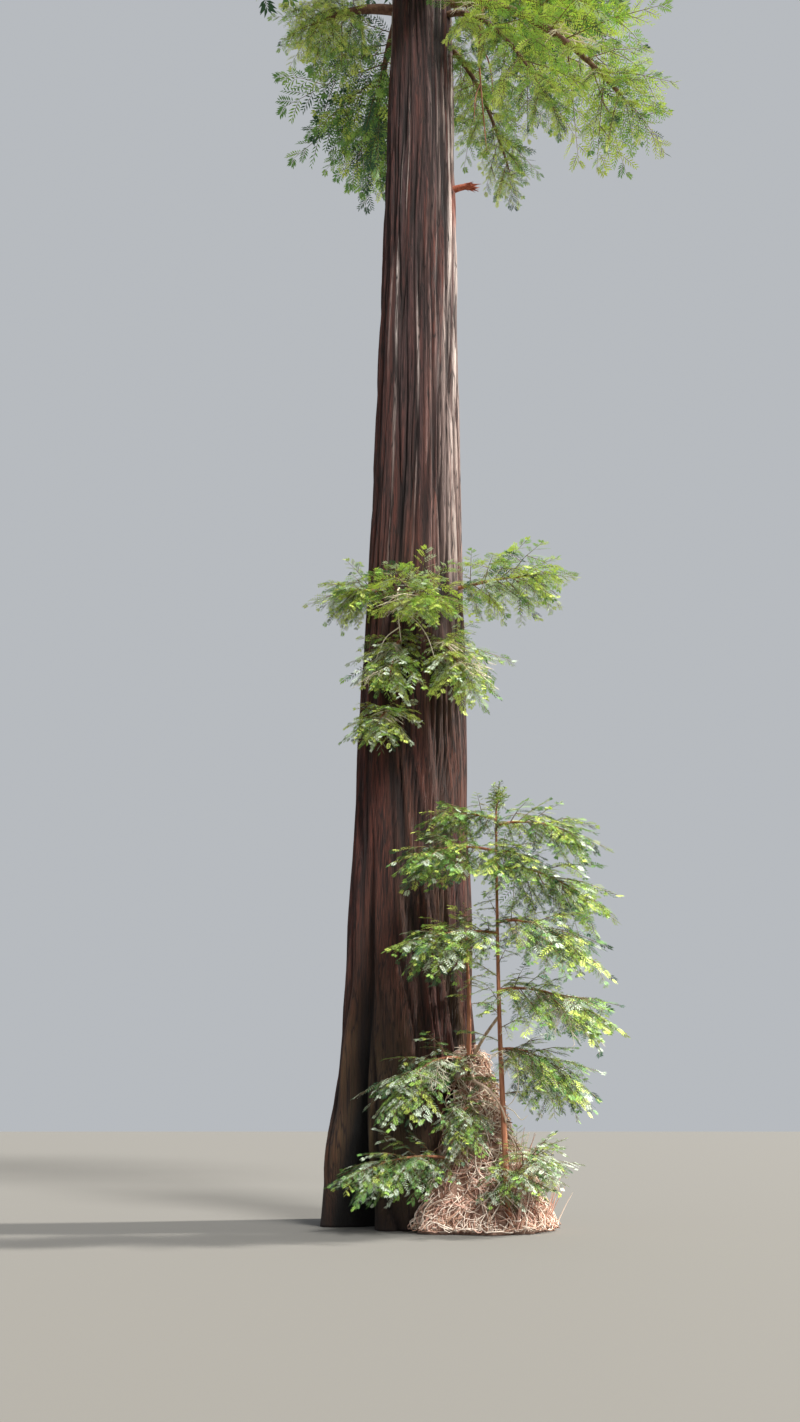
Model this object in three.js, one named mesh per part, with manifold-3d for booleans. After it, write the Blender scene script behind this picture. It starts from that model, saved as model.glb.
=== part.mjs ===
// A coast redwood: one tall trunk with a flared, cleft foot, a burl at the foot that carries a young
// leader and low shoots, tufts of foliage that sprout half way up the bare trunk, and a narrow crown.
// Sizes are those of the living tree in metres. The whole tree is built at a smaller, even scale.
// +X is to the right of someone facing the tree, +Y is away from them, +Z is up. Headings are in
// degrees round the trunk: 0 along +X, 90 along +Y, 270 towards the viewer.
import * as THREE from "three";
import { mergeVertices } from "three/addons/utils/BufferGeometryUtils.js";
import Module from "manifold-3d";

const wasm = await Module();
wasm.setup();

// Driving sizes
const LIVING_HEIGHT = 72;
const BUILT_HEIGHT = 40;
const MM = (1000 * BUILT_HEIGHT) / LIVING_HEIGHT; // built millimetres for one living metre
const GAP = 0.3; // built millimetres kept between neighbours
const CLEARANCE = GAP / MM;
const DEG = Math.PI / 180;
const GOLDEN_ANGLE = 137.5;
const UP = new THREE.Vector3(0, 0, 1);

// Trunk
const TRUNK_TOP = 70.4;
const TRUNK = { sides: 40, rings: 18, spacing: 1.8 };
const SHAFT = { radius: 1.15, taper: 0.55 };
const FLARE = { radius: 0.53, height: 3.6 };
const SWELL = { radius: 0.07, height: 9.5, spread: 2.6 };
const LEAN = { perMetre: 0.0294, levelsOffAt: 34 };
// Flutes round the trunk: size to the radius, count, phase, twist a metre, and whether they fade upwards
const FLUTES = [
  { size: 0.055, count: 3, phase: 0.5, twist: 0, fades: true },
  { size: 0.05, count: 7, phase: -0.9, twist: 0.05, fades: true },
  { size: 0.018, count: 5, phase: 1, twist: -0.03, fades: false },
  { size: 0.012, count: 11, phase: 0, twist: 0.06, fades: false },
];
const FLUTES_FADE = 6;
// Cleft: half widths in degrees at its top and foot, depths as shares of the radius, and the hollow that
// widens and deepens it at the ground
const CLEFT = { heading: 230, halfWidths: [5.6, 8], depth: 0.38, top: 8 };
const HOLLOW = { halfWidth: 8, depth: 0.3, height: 1.2 };

// Burl at the foot, a heap with a narrow top against the trunk
const BURL = { x: 1.38, y: -1.15, height: 3.05, foot: 1.2, top: 0.24, leanX: -0.08, leanY: 0.14 };
const BURL_FACETS = { sides: 22, steps: 8 };
const BURL_SLOPE = { power: 1.4, pinch: 0.45, pinchPower: 6 }; // how its sides run up to its top
const BURL_LUMPS = [
  { size: 0.06, count: 3, phase: 1, twist: 4 },
  { size: 0.05, count: 5, phase: 0, twist: -6 },
  { size: 0.03, count: 8, phase: 0, twist: 0 },
];

// Young leader that grows from the burl, and the shorter stem beside it
const LEADER = { x: 1.8, y: -2.1, foot: 0, height: 7.25, radius: 0.055, tip: 0.018, bow: -0.06 };
const SECOND = { x: 1.22, y: -1.16, foot: 2.5, height: 5.3, radius: 0.05, tip: 0.018, bow: 0.05 };

// Crown
const CROWN_FOOT = 33;
const CROWN_TOP = 69.3;
const CROWN_RADIUS = 7.4;
const CROWN_POINT = 0.66; // power by which it narrows to its tip
const CROWN_SHOULDERS = [0.8, 1.6]; // what its radius is multiplied by at its foot and at its tip
const CROWN_LIMBS = 22;
const BOUGHED_LIMBS = 3;
const BARE_BOUGH = 0.36; // share of a boughed limb's reach that is bare
const CROWN_FIRST_HEADING = 115;
const CROWN_SEED = 7;
// How the crown's limbs differ: rise and sag go from its foot to its tip, and the stem's radius and the
// longest shoot are a fixed part and a share of the reach
const CROWN_GROWTH = {
  headingSpread: 16,
  reachSpread: [0.86, 1.1],
  rise: [0.12, 0.95],
  sag: [0.5, 0.25],
  swaySpread: 0.25,
  radius: [0.03, 0.028],
  length: [0.5, 0.62],
};

// Shoots are drawn in threes. The solids carry one of each three as a blade, larger than life.
const SHOOTS_PER_BLADE = 3;
const LAST_SHOOT = 0.97; // share of the line
const ROLL_SPREAD = 30; // degrees by which shoots differ
const SPLAY_SPREAD = 14;
const LENGTH_SPREAD = [0.85, 1.15];
const FULLNESS = { least: 0.6, from: 0.15, to: 0.9 }; // how a shoot's length follows its place on the stem

// Blade, in shares of its length: one side's outline of two teeth and the notch between them, the
// thickest place and its half thickness, and how far the edges fold down
const BLADE_OUTLINE = [[0.36, 0.25], [0.5, 0.09], [0.8, 0.19]];
const BLADE_MIDDLE = 0.46;
const BLADE_THICKNESS = 0.022;
const BLADE_FOLD = -0.012;
const SHORTENED = [1, 0.8, 0.6]; // the lengths that a blade is tried at, to fit its space
const END_BLADE = { at: 0.95, length: 0.75 }; // the blade that carries a stem on, as shares

const BARK_DEPTH = 0.25; // how far inside the trunk's bark a limb's line starts
const TAPER = 0.3; // radius of a mass's stem at its tip, as a share of that at its foot
const GROUND_GAP = 0.03; // the least height of a blade

// Thin limbs at the foot, by points on their way
const SLANTING_LIMB = {
  radius: 0.032,
  points: [
    [1.28, -1.1, 2.75],
    [1.5, -1.6, 3.15],
    [1.8, -2.07, 3.55],
  ],
};
const CURVED_LIMB = {
  radius: 0.04,
  points: [
    [1.28, -1.1, 2.6],
    [1.3, -1.75, 2.4],
    [1.5, -2.15, 2.25],
    [1.72, -2.2, 1.95],
    [1.8, -2.12, 1.7],
  ],
};
const BROKEN_LIMB = { height: 24.3, heading: 350, radius: 0.11, tip: 0.05 };
const BROKEN_LIMB_LINE = { reach: 0.72, rise: 0.5, sag: 0.35 };

// What the masses of one kind share: the share of the line at which the first shoot stands, the stem's
// radius, the number of blades, how deep the spray is to its width, how far its shoots droop, how wide
// they spread at the foot and at the tip, and the share of the line that is a bare bough
const TUFT = { first: 0.14, radius: 0.05, blades: 8, depth: 0.7, droop: 0.22, splay: [80, 36] };
const TIER = { first: 0.07, radius: 0.03, blades: 8, depth: 0.6, droop: 0.28, splay: [80, 34] };
const CROWN = { first: 0.12, radius: 0.15, blades: 8, depth: 0.95, droop: 0.3, splay: [84, 42] };
const BOUGHED = { ...CROWN, first: BARE_BOUGH + 0.05, boughShare: BARE_BOUGH };
const HANGING = { ...CROWN, radius: 0.09, splay: [70, 34] };

// Masses by name, height on the stem, heading, reach, rise, sag and longest shoot
const TUFTS = [
  ["tuft_right", 12.7, 340, 1.9, 0.15, 0.12, 1.4],
  ["tuft_left", 12.5, 216, 0.8, 0.2, 0.4, 1.15],
  ["tuft_front_upper", 11.9, 274, 1.1, 0.3, 0.45, 1.6],
  ["tuft_front_lower", 11.2, 255, 1.0, 0, 1.2, 1.3],
  ["tuft_right_lower", 11.2, 299, 1.1, 0, 0.9, 1.3],
  ["tuft_left_lower", 9.6, 247, 0.9, 0.1, 0.7, 0.9],
];
const LEADER_TIERS = [
  ["leader_top_left", 7.0, 200, 0.9, 0.3, 0.3, 1.0],
  ["leader_top_right", 6.9, 345, 1.3, 0.2, 0.35, 1.2],
  ["leader_upper_left", 6.4, 205, 1.35, 0.15, 0.25, 1.2],
  ["leader_upper_front", 6.3, 285, 0.7, 0.2, 0.3, 1.1],
  ["leader_upper_right", 6.1, 10, 1.45, 0.15, 0.4, 1.35],
  ["leader_middle_right", 5.1, 335, 1.3, 0.15, 0.5, 1.4],
  ["leader_middle_left", 4.9, 198, 1.3, 0.1, 0.2, 1.2],
  ["leader_low_right", 3.9, 352, 1.35, 0.2, 0.4, 1.35],
  ["leader_low_back", 2.9, 28, 1.2, 0.2, 0.5, 1.3],
];
const BURL_SHOOTS = [
  ["burl_upper_left", 2.75, 214, 1.5, 0.35, 0.7, 1.3],
  ["burl_front", 1.95, 243, 0.6, 0.3, 0.8, 1.0],
  ["burl_lower_left", 1.1, 194, 1.55, 0.25, 0.3, 1.2],
  ["burl_lower_right", 0.6, 324, 0.75, 1.1, 0.3, 0.95],
];
const LOW_BOUGHED = [
  ["low_right_foliage", 31.3, 352, 4.8, 0.1, 1.05, 2.7],
  ["low_left_foliage", 31, 188, 2.5, 0.1, 0.5, 1.6],
];
const LOW_HANGING = [
  ["low_hanging_foliage", 30.6, 338, 2.8, 0.1, 1.6, 2.3],
  ["low_inner_foliage", 30.0, 16, 1.9, 0, 2.2, 1.8],
  ["low_front_foliage", 31.6, 268, 1.2, 0.3, 0.7, 1.2],
];
// Masses that carry a stem on above its tip, and the heights at which they start inside it
const LEADER_TIP_START = 7.15;
const CROWN_TIP_START = 70.3;
const LEADER_TIP = {
  ...TIER,
  name: "leader_tip",
  heading: 0,
  reach: 0.04,
  rise: 7.5,
  sag: 0,
  radius: 0.018,
  blades: 5,
  length: 0.42,
  droop: -0.2,
  splay: [66, 30],
};
const CROWN_TIP = {
  ...CROWN,
  name: "crown_tip",
  heading: 0,
  reach: 0.16,
  rise: 5.6,
  sag: 0,
  radius: 0.1,
  first: 0.08,
  blades: 7,
  length: 1.1,
  droop: -0.3,
  splay: [60, 30],
};

const lerp = THREE.MathUtils.lerp;
const bell = (x) => Math.exp(-x * x);
const vector = (x, y, z) => new THREE.Vector3(x, y, z);
const headingVector = (heading) => vector(Math.cos(heading * DEG), Math.sin(heading * DEG), 0);

// A seeded stream of even numbers from 0 to 1
function seeded(seed) {
  let state = seed >>> 0;
  return () => {
    state = (state + 0x6d2b79f5) >>> 0;
    let t = Math.imul(state ^ (state >>> 15), state | 1);
    t ^= t + Math.imul(t ^ (t >>> 7), t | 61);
    return ((t ^ (t >>> 14)) >>> 0) / 4294967296;
  };
}

// The angle from one heading to another, from -180 to 180 degrees
function turn(from, to) {
  return ((((to - from) % 360) + 540) % 360) - 180;
}

// The trunk's centre line leans a little and straightens up in the crown
function trunkCentre(height) {
  const leaning = LEAN.levelsOffAt * (1 - Math.exp(-height / LEAN.levelsOffAt));
  return vector(LEAN.perMetre * leaning, 0, height);
}

function shaftRadius(height) {
  const shaft = SHAFT.radius * Math.pow(Math.max(0, 1 - height / LIVING_HEIGHT), SHAFT.taper);
  const flare = FLARE.radius * Math.exp(-height / FLARE.height);
  return shaft + flare + SWELL.radius * bell((height - SWELL.height) / SWELL.spread);
}

// The shaft's radius at a heading, with the buttresses of its foot and the cleft between two of them
function trunkRadius(height, heading) {
  const flutes = FLUTES.reduce((sum, { size, count, phase, twist, fades }) => {
    const strength = fades ? size * Math.exp(-height / FLUTES_FADE) : size;
    return sum + strength * Math.cos(count * heading * DEG + phase + twist * height);
  }, 0);
  const rise = Math.max(0, 1 - height / CLEFT.top);
  const gape = bell(height / HOLLOW.height);
  const width = lerp(...CLEFT.halfWidths, rise) + HOLLOW.halfWidth * gape;
  const depth = CLEFT.depth * rise + HOLLOW.depth * gape;
  return shaftRadius(height) * (1 + flutes - depth * bell(turn(CLEFT.heading, heading) / width));
}

// A three.js geometry as a manifold solid
function solidOf(geometry) {
  geometry.deleteAttribute("normal");
  geometry.deleteAttribute("uv");
  const merged = mergeVertices(geometry, 1e-3);
  const vertProperties = new Float32Array(merged.getAttribute("position").array);
  const triVerts = new Uint32Array(merged.index.array);
  return new wasm.Manifold(new wasm.Mesh({ numProp: 3, vertProperties, triVerts }));
}

// A manifold solid as a three.js geometry
function geometryOf(solid) {
  const { vertProperties, numProp, triVerts } = solid.getMesh();
  const positions = new Float32Array((vertProperties.length / numProp) * 3);
  for (let i = 0; i < positions.length / 3; i += 1) {
    positions.set(vertProperties.subarray(i * numProp, i * numProp + 3), i * 3);
  }
  const geometry = new THREE.BufferGeometry();
  geometry.setAttribute("position", new THREE.BufferAttribute(positions, 3));
  geometry.setIndex(new THREE.BufferAttribute(triVerts, 1));
  geometry.computeVertexNormals();
  return geometry;
}

// The largest piece of a solid, without what a cut left loose
function largestOf(solid) {
  return solid.decompose().sort((a, b) => b.volume() - a.volume())[0];
}

// A closed solid swept along a path by bending a cylinder. The path and the radius take a share of
// the way from 0 to 1. An upright sweep keeps its sections level, and its radius takes a heading too.
function sweep({ path, radius, sides, steps, upright = false, spacing = 1 }) {
  const geometry = new THREE.CylinderGeometry(1, 1, 1, sides, steps);
  const position = geometry.getAttribute("position");
  for (let i = 0; i < position.count; i += 1) {
    const share = Math.pow(position.getY(i) + 0.5, spacing);
    const x = position.getX(i);
    const z = position.getZ(i);
    const along = upright ? UP.clone() : tangent(path, share);
    const first = upright ? vector(1, 0, 0) : along.clone().cross(UP).normalize();
    const second = first.clone().cross(along);
    const heading = (Math.atan2(-z, x) / DEG + 360) % 360;
    const reach = Math.hypot(x, z) < 0.5 ? 0 : radius(share, heading);
    const point = path(share).addScaledVector(first, reach * x).addScaledVector(second, reach * z);
    position.setXYZ(i, point.x * MM, point.y * MM, point.z * MM);
  }
  return solidOf(geometry);
}

function tangent(path, share) {
  return path(share + 0.005)
    .sub(path(share - 0.005))
    .normalize();
}

// A limb's line: out along its heading, rising at first, then sagging under its weight
function limbPath({ start, heading, reach, rise, sag, sway = 0 }) {
  const out = headingVector(heading);
  const across = headingVector(heading + 90);
  return (s) =>
    start
      .clone()
      .addScaledVector(out, reach * s)
      .addScaledVector(across, sway * reach * s * (1 - s))
      .addScaledVector(UP, reach * (rise * s - sag * s * s));
}

// The part of a path between two shares of its length
const stretch = (path, from, to) => (share) => path(lerp(from, to, share));

// A limb that tapers evenly from its foot to its tip, with a grown copy for cutting its neighbours clear
function limb({ path, foot, tip, sides = 6, steps = 6, upright = false }) {
  const length = path(0).distanceTo(path(1));
  const grown = (extra) =>
    sweep({
      path: stretch(path, -extra / length, 1 + extra / length),
      radius: (share) => lerp(foot, tip, share) + extra,
      sides,
      steps,
      upright,
    });
  return { path, solid: grown(0), grown: grown(CLEARANCE) };
}

const cutClear = (solid, neighbours) =>
  largestOf(neighbours.reduce((left, neighbour) => left.subtract(neighbour), solid));

// A flat toothed blade that stands for a spray of needles: a thin double pyramid on a toothed outline
function blade({ root, direction, length }) {
  const along = direction.clone().normalize();
  const across = along.clone().cross(UP).normalize();
  const normal = across.clone().cross(along);
  const left = BLADE_OUTLINE.map(([s, w]) => [s, -w, BLADE_FOLD]);
  const right = BLADE_OUTLINE.map(([s, w]) => [s, w, BLADE_FOLD]).reverse();
  const ring = [[0, 0, 0], ...left, [1, 0, BLADE_FOLD], ...right];
  const peaks = [BLADE_THICKNESS, -BLADE_THICKNESS].map((n) => [BLADE_MIDDLE, 0, n]);
  const points = [...ring, ...peaks].flatMap(([s, w, n]) => {
    const p = root.clone().addScaledVector(along, s * length);
    p.addScaledVector(across, w * length).addScaledVector(normal, n * length);
    return p.multiplyScalar(MM).toArray();
  });
  const [upper, lower] = [ring.length, ring.length + 1];
  const faces = ring.flatMap((_, k) => {
    const next = (k + 1) % ring.length;
    return [upper, next, k, lower, k, next];
  });
  const geometry = new THREE.BufferGeometry();
  geometry.setAttribute("position", new THREE.BufferAttribute(new Float32Array(points), 3));
  geometry.setIndex(faces);
  return solidOf(geometry);
}

// The seeded rule by which shoots leave a stem: round it by the golden angle, flattened by depth,
// longest in the middle, and swept forward more towards the tip
function shootsOf({ path, first, blades, length, depth, droop, splay: [widest, narrowest], seed }) {
  const random = seeded(seed);
  const count = blades * SHOOTS_PER_BLADE;
  return Array.from({ length: count }, (_, j) => {
    const way = (j + 0.5) / count;
    const share = lerp(first, LAST_SHOOT, way);
    const along = tangent(path, share);
    const side = along.clone().cross(UP).normalize();
    const lift = side.clone().cross(along);
    const roll = (GOLDEN_ANGLE * j + ROLL_SPREAD * (random() - 0.5)) * DEG;
    const splay = (lerp(widest, narrowest, way) + SPLAY_SPREAD * (random() - 0.5)) * DEG;
    const direction = along
      .multiplyScalar(Math.cos(splay))
      .addScaledVector(side, Math.sin(splay) * Math.cos(roll))
      .addScaledVector(lift, Math.sin(splay) * Math.sin(roll) * depth);
    const place = Math.sin(Math.PI * lerp(FULLNESS.from, FULLNESS.to, way));
    const fullness = lerp(FULLNESS.least, 1, place);
    const shootLength = length * fullness * lerp(...LENGTH_SPREAD, random()) * direction.length();
    direction.normalize().addScaledVector(UP, -droop).normalize();
    return { root: path(share), direction, length: shootLength };
  });
}

// Nodes, in the order in which they are made
const tree = new THREE.Group();
const BARK = new THREE.MeshStandardMaterial({ color: 0x5d4038, roughness: 0.95, metalness: 0 });
const YOUNG_BARK = new THREE.MeshStandardMaterial({ color: 0x8a5138, roughness: 0.85, metalness: 0 });
const BURL_BARK = new THREE.MeshStandardMaterial({ color: 0x8b6350, roughness: 1, metalness: 0 });
const NEEDLES = new THREE.MeshStandardMaterial({ color: 0x5f8a35, roughness: 0.75, metalness: 0 });
const obstacles = [];

function addNode(name, solid, material) {
  const mesh = new THREE.Mesh(geometryOf(solid), material);
  mesh.name = name;
  tree.add(mesh);
  obstacles.push({ solid, box: solid.boundingBox() });
}

function boxesMeet(a, b) {
  return [0, 1, 2].every((k) => a.min[k] - GAP < b.max[k] && b.min[k] - GAP < a.max[k]);
}

// Whether a solid comes within the clearance of anything made before it
function touchesAnything(solid) {
  const box = solid.boundingBox();
  return obstacles.some((other) => boxesMeet(box, other.box) && solid.minGap(other.solid, GAP) < GAP);
}

// Trunk, from the flat cut at the ground to its tip
const trunkGrown = (extra) =>
  sweep({
    path: (share) => trunkCentre(share * (TRUNK_TOP + extra)),
    radius: (share, heading) => trunkRadius(share * TRUNK_TOP, heading) + extra,
    sides: TRUNK.sides,
    steps: TRUNK.rings,
    spacing: TRUNK.spacing,
    upright: true,
  });
const trunkClear = trunkGrown(CLEARANCE);
addNode("trunk", trunkGrown(0), BARK);

// Burl
const burlCentre = (share) =>
  vector(BURL.x + BURL.leanX * share, BURL.y + BURL.leanY * share, BURL.height * share);
function burlRadius(share, heading) {
  const lumps = BURL_LUMPS.reduce((sum, { size, count, phase, twist }) => {
    return sum + size * Math.cos(count * heading * DEG + phase + twist * share);
  }, 0);
  const heap = lerp(BURL.top, BURL.foot, Math.pow(1 - share, BURL_SLOPE.power));
  return heap * (1 + lumps) * (1 - BURL_SLOPE.pinch * Math.pow(share, BURL_SLOPE.pinchPower));
}
const burlGrown = (extra) =>
  sweep({
    path: burlCentre,
    radius: (share, heading) => burlRadius(share, heading) + extra,
    ...BURL_FACETS,
    upright: true,
  });
const burlClear = burlGrown(CLEARANCE);
addNode("burl", cutClear(burlGrown(0), [trunkClear]), BURL_BARK);

// Upright stems that grow from the burl, bowed a little
function uprightStem({ x, y, foot, height, radius, tip, bow }) {
  const path = (share) =>
    vector(
      x + bow * Math.sin(Math.PI * share),
      y - 0.5 * bow * Math.sin(2 * Math.PI * share),
      lerp(foot, height, share),
    );
  return limb({ path, foot: radius, tip, steps: 8, upright: true });
}
const leader = uprightStem(LEADER);
const second = uprightStem(SECOND);
addNode("leader_stem", cutClear(leader.solid, [burlClear, trunkClear]), YOUNG_BARK);
addNode("second_stem", cutClear(second.solid, [burlClear, trunkClear]), YOUNG_BARK);

// Two thin limbs that cross between the stems
function crossLimb(name, points, radius) {
  const curve = new THREE.CatmullRomCurve3(points.map(([x, y, z]) => vector(x, y, z)));
  const path = (share) => {
    const inside = Math.min(1, Math.max(0, share));
    const beyond = (share - inside) * curve.getLength();
    return curve.getPoint(inside).addScaledVector(curve.getTangent(inside), beyond);
  };
  const made = limb({ path, foot: radius, tip: 0.8 * radius, steps: 10 });
  addNode(name, cutClear(made.solid, [leader.grown, second.grown, burlClear, trunkClear]), YOUNG_BARK);
}
crossLimb("slanting_limb", SLANTING_LIMB.points, SLANTING_LIMB.radius);
crossLimb("curved_limb", CURVED_LIMB.points, CURVED_LIMB.radius);

// Starting points of limbs: a little inside the trunk's bark, and inside the burl on the viewer's side
const inTrunk = (height, heading) =>
  trunkCentre(height).addScaledVector(headingVector(heading), trunkRadius(height, heading) - BARK_DEPTH);
const inBurl = (height, heading) => {
  const share = height / BURL.height;
  const side = lerp(heading, 270, 0.6);
  return burlCentre(share).addScaledVector(headingVector(side), 0.8 * burlRadius(share, side));
};
const onLeader = (height) => leader.path(height / LEADER.height);

// The stub of a limb that broke off, high on the bare trunk
const stubStart = inTrunk(BROKEN_LIMB.height, BROKEN_LIMB.heading);
const stubPath = limbPath({ ...BROKEN_LIMB, ...BROKEN_LIMB_LINE, start: stubStart });
const stub = limb({ path: stubPath, foot: BROKEN_LIMB.radius, tip: BROKEN_LIMB.tip, steps: 5 });
addNode("broken_limb", cutClear(stub.solid, [trunkClear]), YOUNG_BARK);

// Each mass of foliage, with its line as points for the rule that keeps it to its own space
const masses = [];

function planMass(spec) {
  const path = limbPath(spec);
  const line = Array.from({ length: 6 }, (_, k) => path(lerp(spec.first, 1, k / 5)));
  masses.push({ path, line, seed: 100 + masses.length, ...spec });
}

// Masses of one kind, by their rows, each on a stem that gives its starting point
function planRows(shared, rows, growsOn, startOf) {
  rows.forEach(([name, height, heading, reach, rise, sag, length]) => {
    const start = startOf(height, heading);
    planMass({ ...shared, name, heading, reach, rise, sag, length, start, growsOn });
  });
}
planRows(TUFT, TUFTS, [trunkClear], inTrunk);
planRows(TIER, LEADER_TIERS, [leader.grown], onLeader);
planMass({ ...LEADER_TIP, start: onLeader(LEADER_TIP_START), growsOn: [leader.grown] });
planRows(TIER, BURL_SHOOTS, [burlClear, second.grown, leader.grown, trunkClear], inBurl);
planRows(BOUGHED, LOW_BOUGHED, [trunkClear], inTrunk);
planRows(HANGING, LOW_HANGING, [trunkClear], inTrunk);

// The crown's outline: its radius at a share of its height
const crownRadius = (u) => CROWN_RADIUS * Math.pow(1 - u, CROWN_POINT) * lerp(...CROWN_SHOULDERS, u);

function planCrown() {
  const random = seeded(CROWN_SEED);
  const grows = CROWN_GROWTH;
  for (let i = 0; i < CROWN_LIMBS; i += 1) {
    const u = (i + 0.3) / CROWN_LIMBS;
    const height = lerp(CROWN_FOOT, CROWN_TOP, u);
    const turned = GOLDEN_ANGLE * i + grows.headingSpread * (random() - 0.5);
    const heading = (CROWN_FIRST_HEADING + turned) % 360;
    const reach = crownRadius(u) * lerp(...grows.reachSpread, random()) - shaftRadius(height);
    planMass({
      ...(i < BOUGHED_LIMBS ? BOUGHED : CROWN),
      name: `crown_foliage_${String(i + 1).padStart(2, "0")}`,
      heading,
      reach,
      rise: lerp(...grows.rise, u),
      sag: lerp(...grows.sag, u),
      sway: grows.swaySpread * (random() - 0.5),
      radius: grows.radius[0] + grows.radius[1] * reach,
      length: grows.length[0] + grows.length[1] * reach,
      start: inTrunk(height, heading),
      growsOn: [trunkClear],
    });
  }
  planMass({ ...CROWN_TIP, start: trunkCentre(CROWN_TIP_START), growsOn: [trunkClear] });
}
planCrown();

// Bare boughs, each from the trunk to where its foliage starts
masses.forEach((mass) => {
  if (!mass.boughShare) return;
  const path = stretch(mass.path, 0, mass.boughShare);
  mass.boughTip = mass.radius * lerp(1, TAPER, mass.boughShare);
  const bough = limb({ path, foot: mass.radius, tip: mass.boughTip, steps: 4 });
  addNode(mass.name.replace("foliage", "bough"), cutClear(bough.solid, [trunkClear]), BARK);
});

// Every mass keeps to the space that lies nearer to its own line than to any other's
function distanceToLine(point, line) {
  const closest = vector(0, 0, 0);
  return line.slice(1).reduce((least, end, k) => {
    new THREE.Line3(line[k], end).closestPointToPoint(point, true, closest);
    return Math.min(least, closest.distanceTo(point));
  }, Infinity);
}

function inOwnSpace(mass, point) {
  if (point.z < GROUND_GAP) return false;
  const own = distanceToLine(point, mass.line);
  return masses.every((other) => other === mass || distanceToLine(point, other.line) > own);
}

function bladeFits(mass, { root, direction, length }) {
  const [toothAt, toothWidth] = BLADE_OUTLINE[0];
  const across = direction.clone().cross(UP).normalize().multiplyScalar(toothWidth * length);
  const middle = root.clone().addScaledVector(direction, toothAt * length);
  const tip = root.clone().addScaledVector(direction, length);
  const points = [middle.clone().add(across), middle.clone().sub(across), tip];
  return points.every((point) => inOwnSpace(mass, point));
}

// A shoot's blade at its full length, or shortened to fit. One that fits at no length is left out.
function fittingBlade(mass, shoot) {
  const tries = SHORTENED.map((share) => ({ ...shoot, length: share * shoot.length }));
  return tries
    .filter((tried) => bladeFits(mass, tried))
    .map(blade)
    .find((made) => !touchesAnything(made));
}

// A mass of foliage: one stem with toothed blades sunk in it
function growMass(mass) {
  const from = mass.boughShare ? mass.boughShare + CLEARANCE / mass.reach : 0;
  const stem = sweep({
    path: stretch(mass.path, from, 1),
    radius: (share) => lerp(mass.boughTip ?? mass.radius, TAPER * mass.radius, share),
    sides: 3,
    steps: 3,
  });
  const shoots = shootsOf(mass).filter((_, j) => j % SHOOTS_PER_BLADE === 1);
  shoots.push({
    root: mass.path(END_BLADE.at),
    direction: tangent(mass.path, END_BLADE.at),
    length: END_BLADE.length * mass.length,
  });
  const blades = shoots.map((shoot) => fittingBlade(mass, shoot)).filter(Boolean);
  addNode(mass.name, largestOf(wasm.Manifold.union([cutClear(stem, mass.growsOn), ...blades])), NEEDLES);
}
masses.forEach(growMass);

export default tree;
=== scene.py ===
"""Looks of the coast redwood: bark with its relief, the burl under its dead stalks, and every mass of
foliage grown again from the solids' own rule and carried on to twiglets and needles."""
import math

import bpy
import numpy as np
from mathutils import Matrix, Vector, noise


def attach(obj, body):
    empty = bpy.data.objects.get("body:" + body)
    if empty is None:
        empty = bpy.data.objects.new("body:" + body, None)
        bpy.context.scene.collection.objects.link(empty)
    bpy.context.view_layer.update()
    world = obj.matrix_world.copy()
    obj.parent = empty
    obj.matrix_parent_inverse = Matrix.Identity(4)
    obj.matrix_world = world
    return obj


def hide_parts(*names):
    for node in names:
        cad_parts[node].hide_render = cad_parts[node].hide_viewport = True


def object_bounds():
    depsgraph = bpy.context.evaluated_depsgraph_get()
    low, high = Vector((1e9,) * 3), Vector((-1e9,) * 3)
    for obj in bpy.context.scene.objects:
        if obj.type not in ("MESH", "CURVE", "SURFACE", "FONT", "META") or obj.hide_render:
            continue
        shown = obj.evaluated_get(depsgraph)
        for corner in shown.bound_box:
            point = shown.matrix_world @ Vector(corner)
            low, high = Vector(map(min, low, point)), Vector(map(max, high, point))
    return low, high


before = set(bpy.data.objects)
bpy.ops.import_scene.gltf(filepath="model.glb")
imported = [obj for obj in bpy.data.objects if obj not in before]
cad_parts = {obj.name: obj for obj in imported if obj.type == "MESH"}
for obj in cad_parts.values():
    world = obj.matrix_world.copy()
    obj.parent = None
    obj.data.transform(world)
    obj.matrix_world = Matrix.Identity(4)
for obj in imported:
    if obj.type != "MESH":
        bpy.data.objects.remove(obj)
cad_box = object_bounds()

# Sizes are those of the living tree in metres. SCALE brings them to the built size.
SCALE = 40 / 72
LIVING_HEIGHT = 72
GOLDEN_ANGLE = 137.5
UP = np.array([0.0, 0.0, 1.0])

# Trunk, as in the solids
TRUNK_TOP = 70.4
SHAFT_RADIUS = 1.15
SHAFT_TAPER = 0.55
FLARE_RADIUS = 0.53
FLARE_HEIGHT = 3.6
SWELL = {"radius": 0.07, "height": 9.5, "spread": 2.6}
LEAN = {"per_metre": 0.0294, "levels_off_at": 34}
# Flutes: size to the radius, count, phase, twist a metre, and whether they fade upwards
FLUTES = [
    (0.055, 3, 0.5, 0, True),
    (0.05, 7, -0.9, 0.05, True),
    (0.018, 5, 1, -0.03, False),
    (0.012, 11, 0, 0.06, False),
]
FLUTES_FADE = 6
CLEFT = {"heading": 230, "half_widths": (5.6, 8), "depth": 0.38, "top": 8}
HOLLOW = {"half_width": 8, "depth": 0.3, "height": 1.2}
BARK_DEPTH = 0.25

# Burl, as in the solids
BURL = {"height": 3.05, "foot": 1.2, "top": 0.24}
BURL_FOOT = np.array([1.38, -1.15, 0])
BURL_LINE = np.array([-0.08, 0.14, BURL["height"]])
BURL_LUMPS = [(0.06, 3, 1, 4), (0.05, 5, 0, -6), (0.03, 8, 0, 0)]
BURL_HEAP = 1.4
BURL_NARROWS = 0.45

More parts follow.
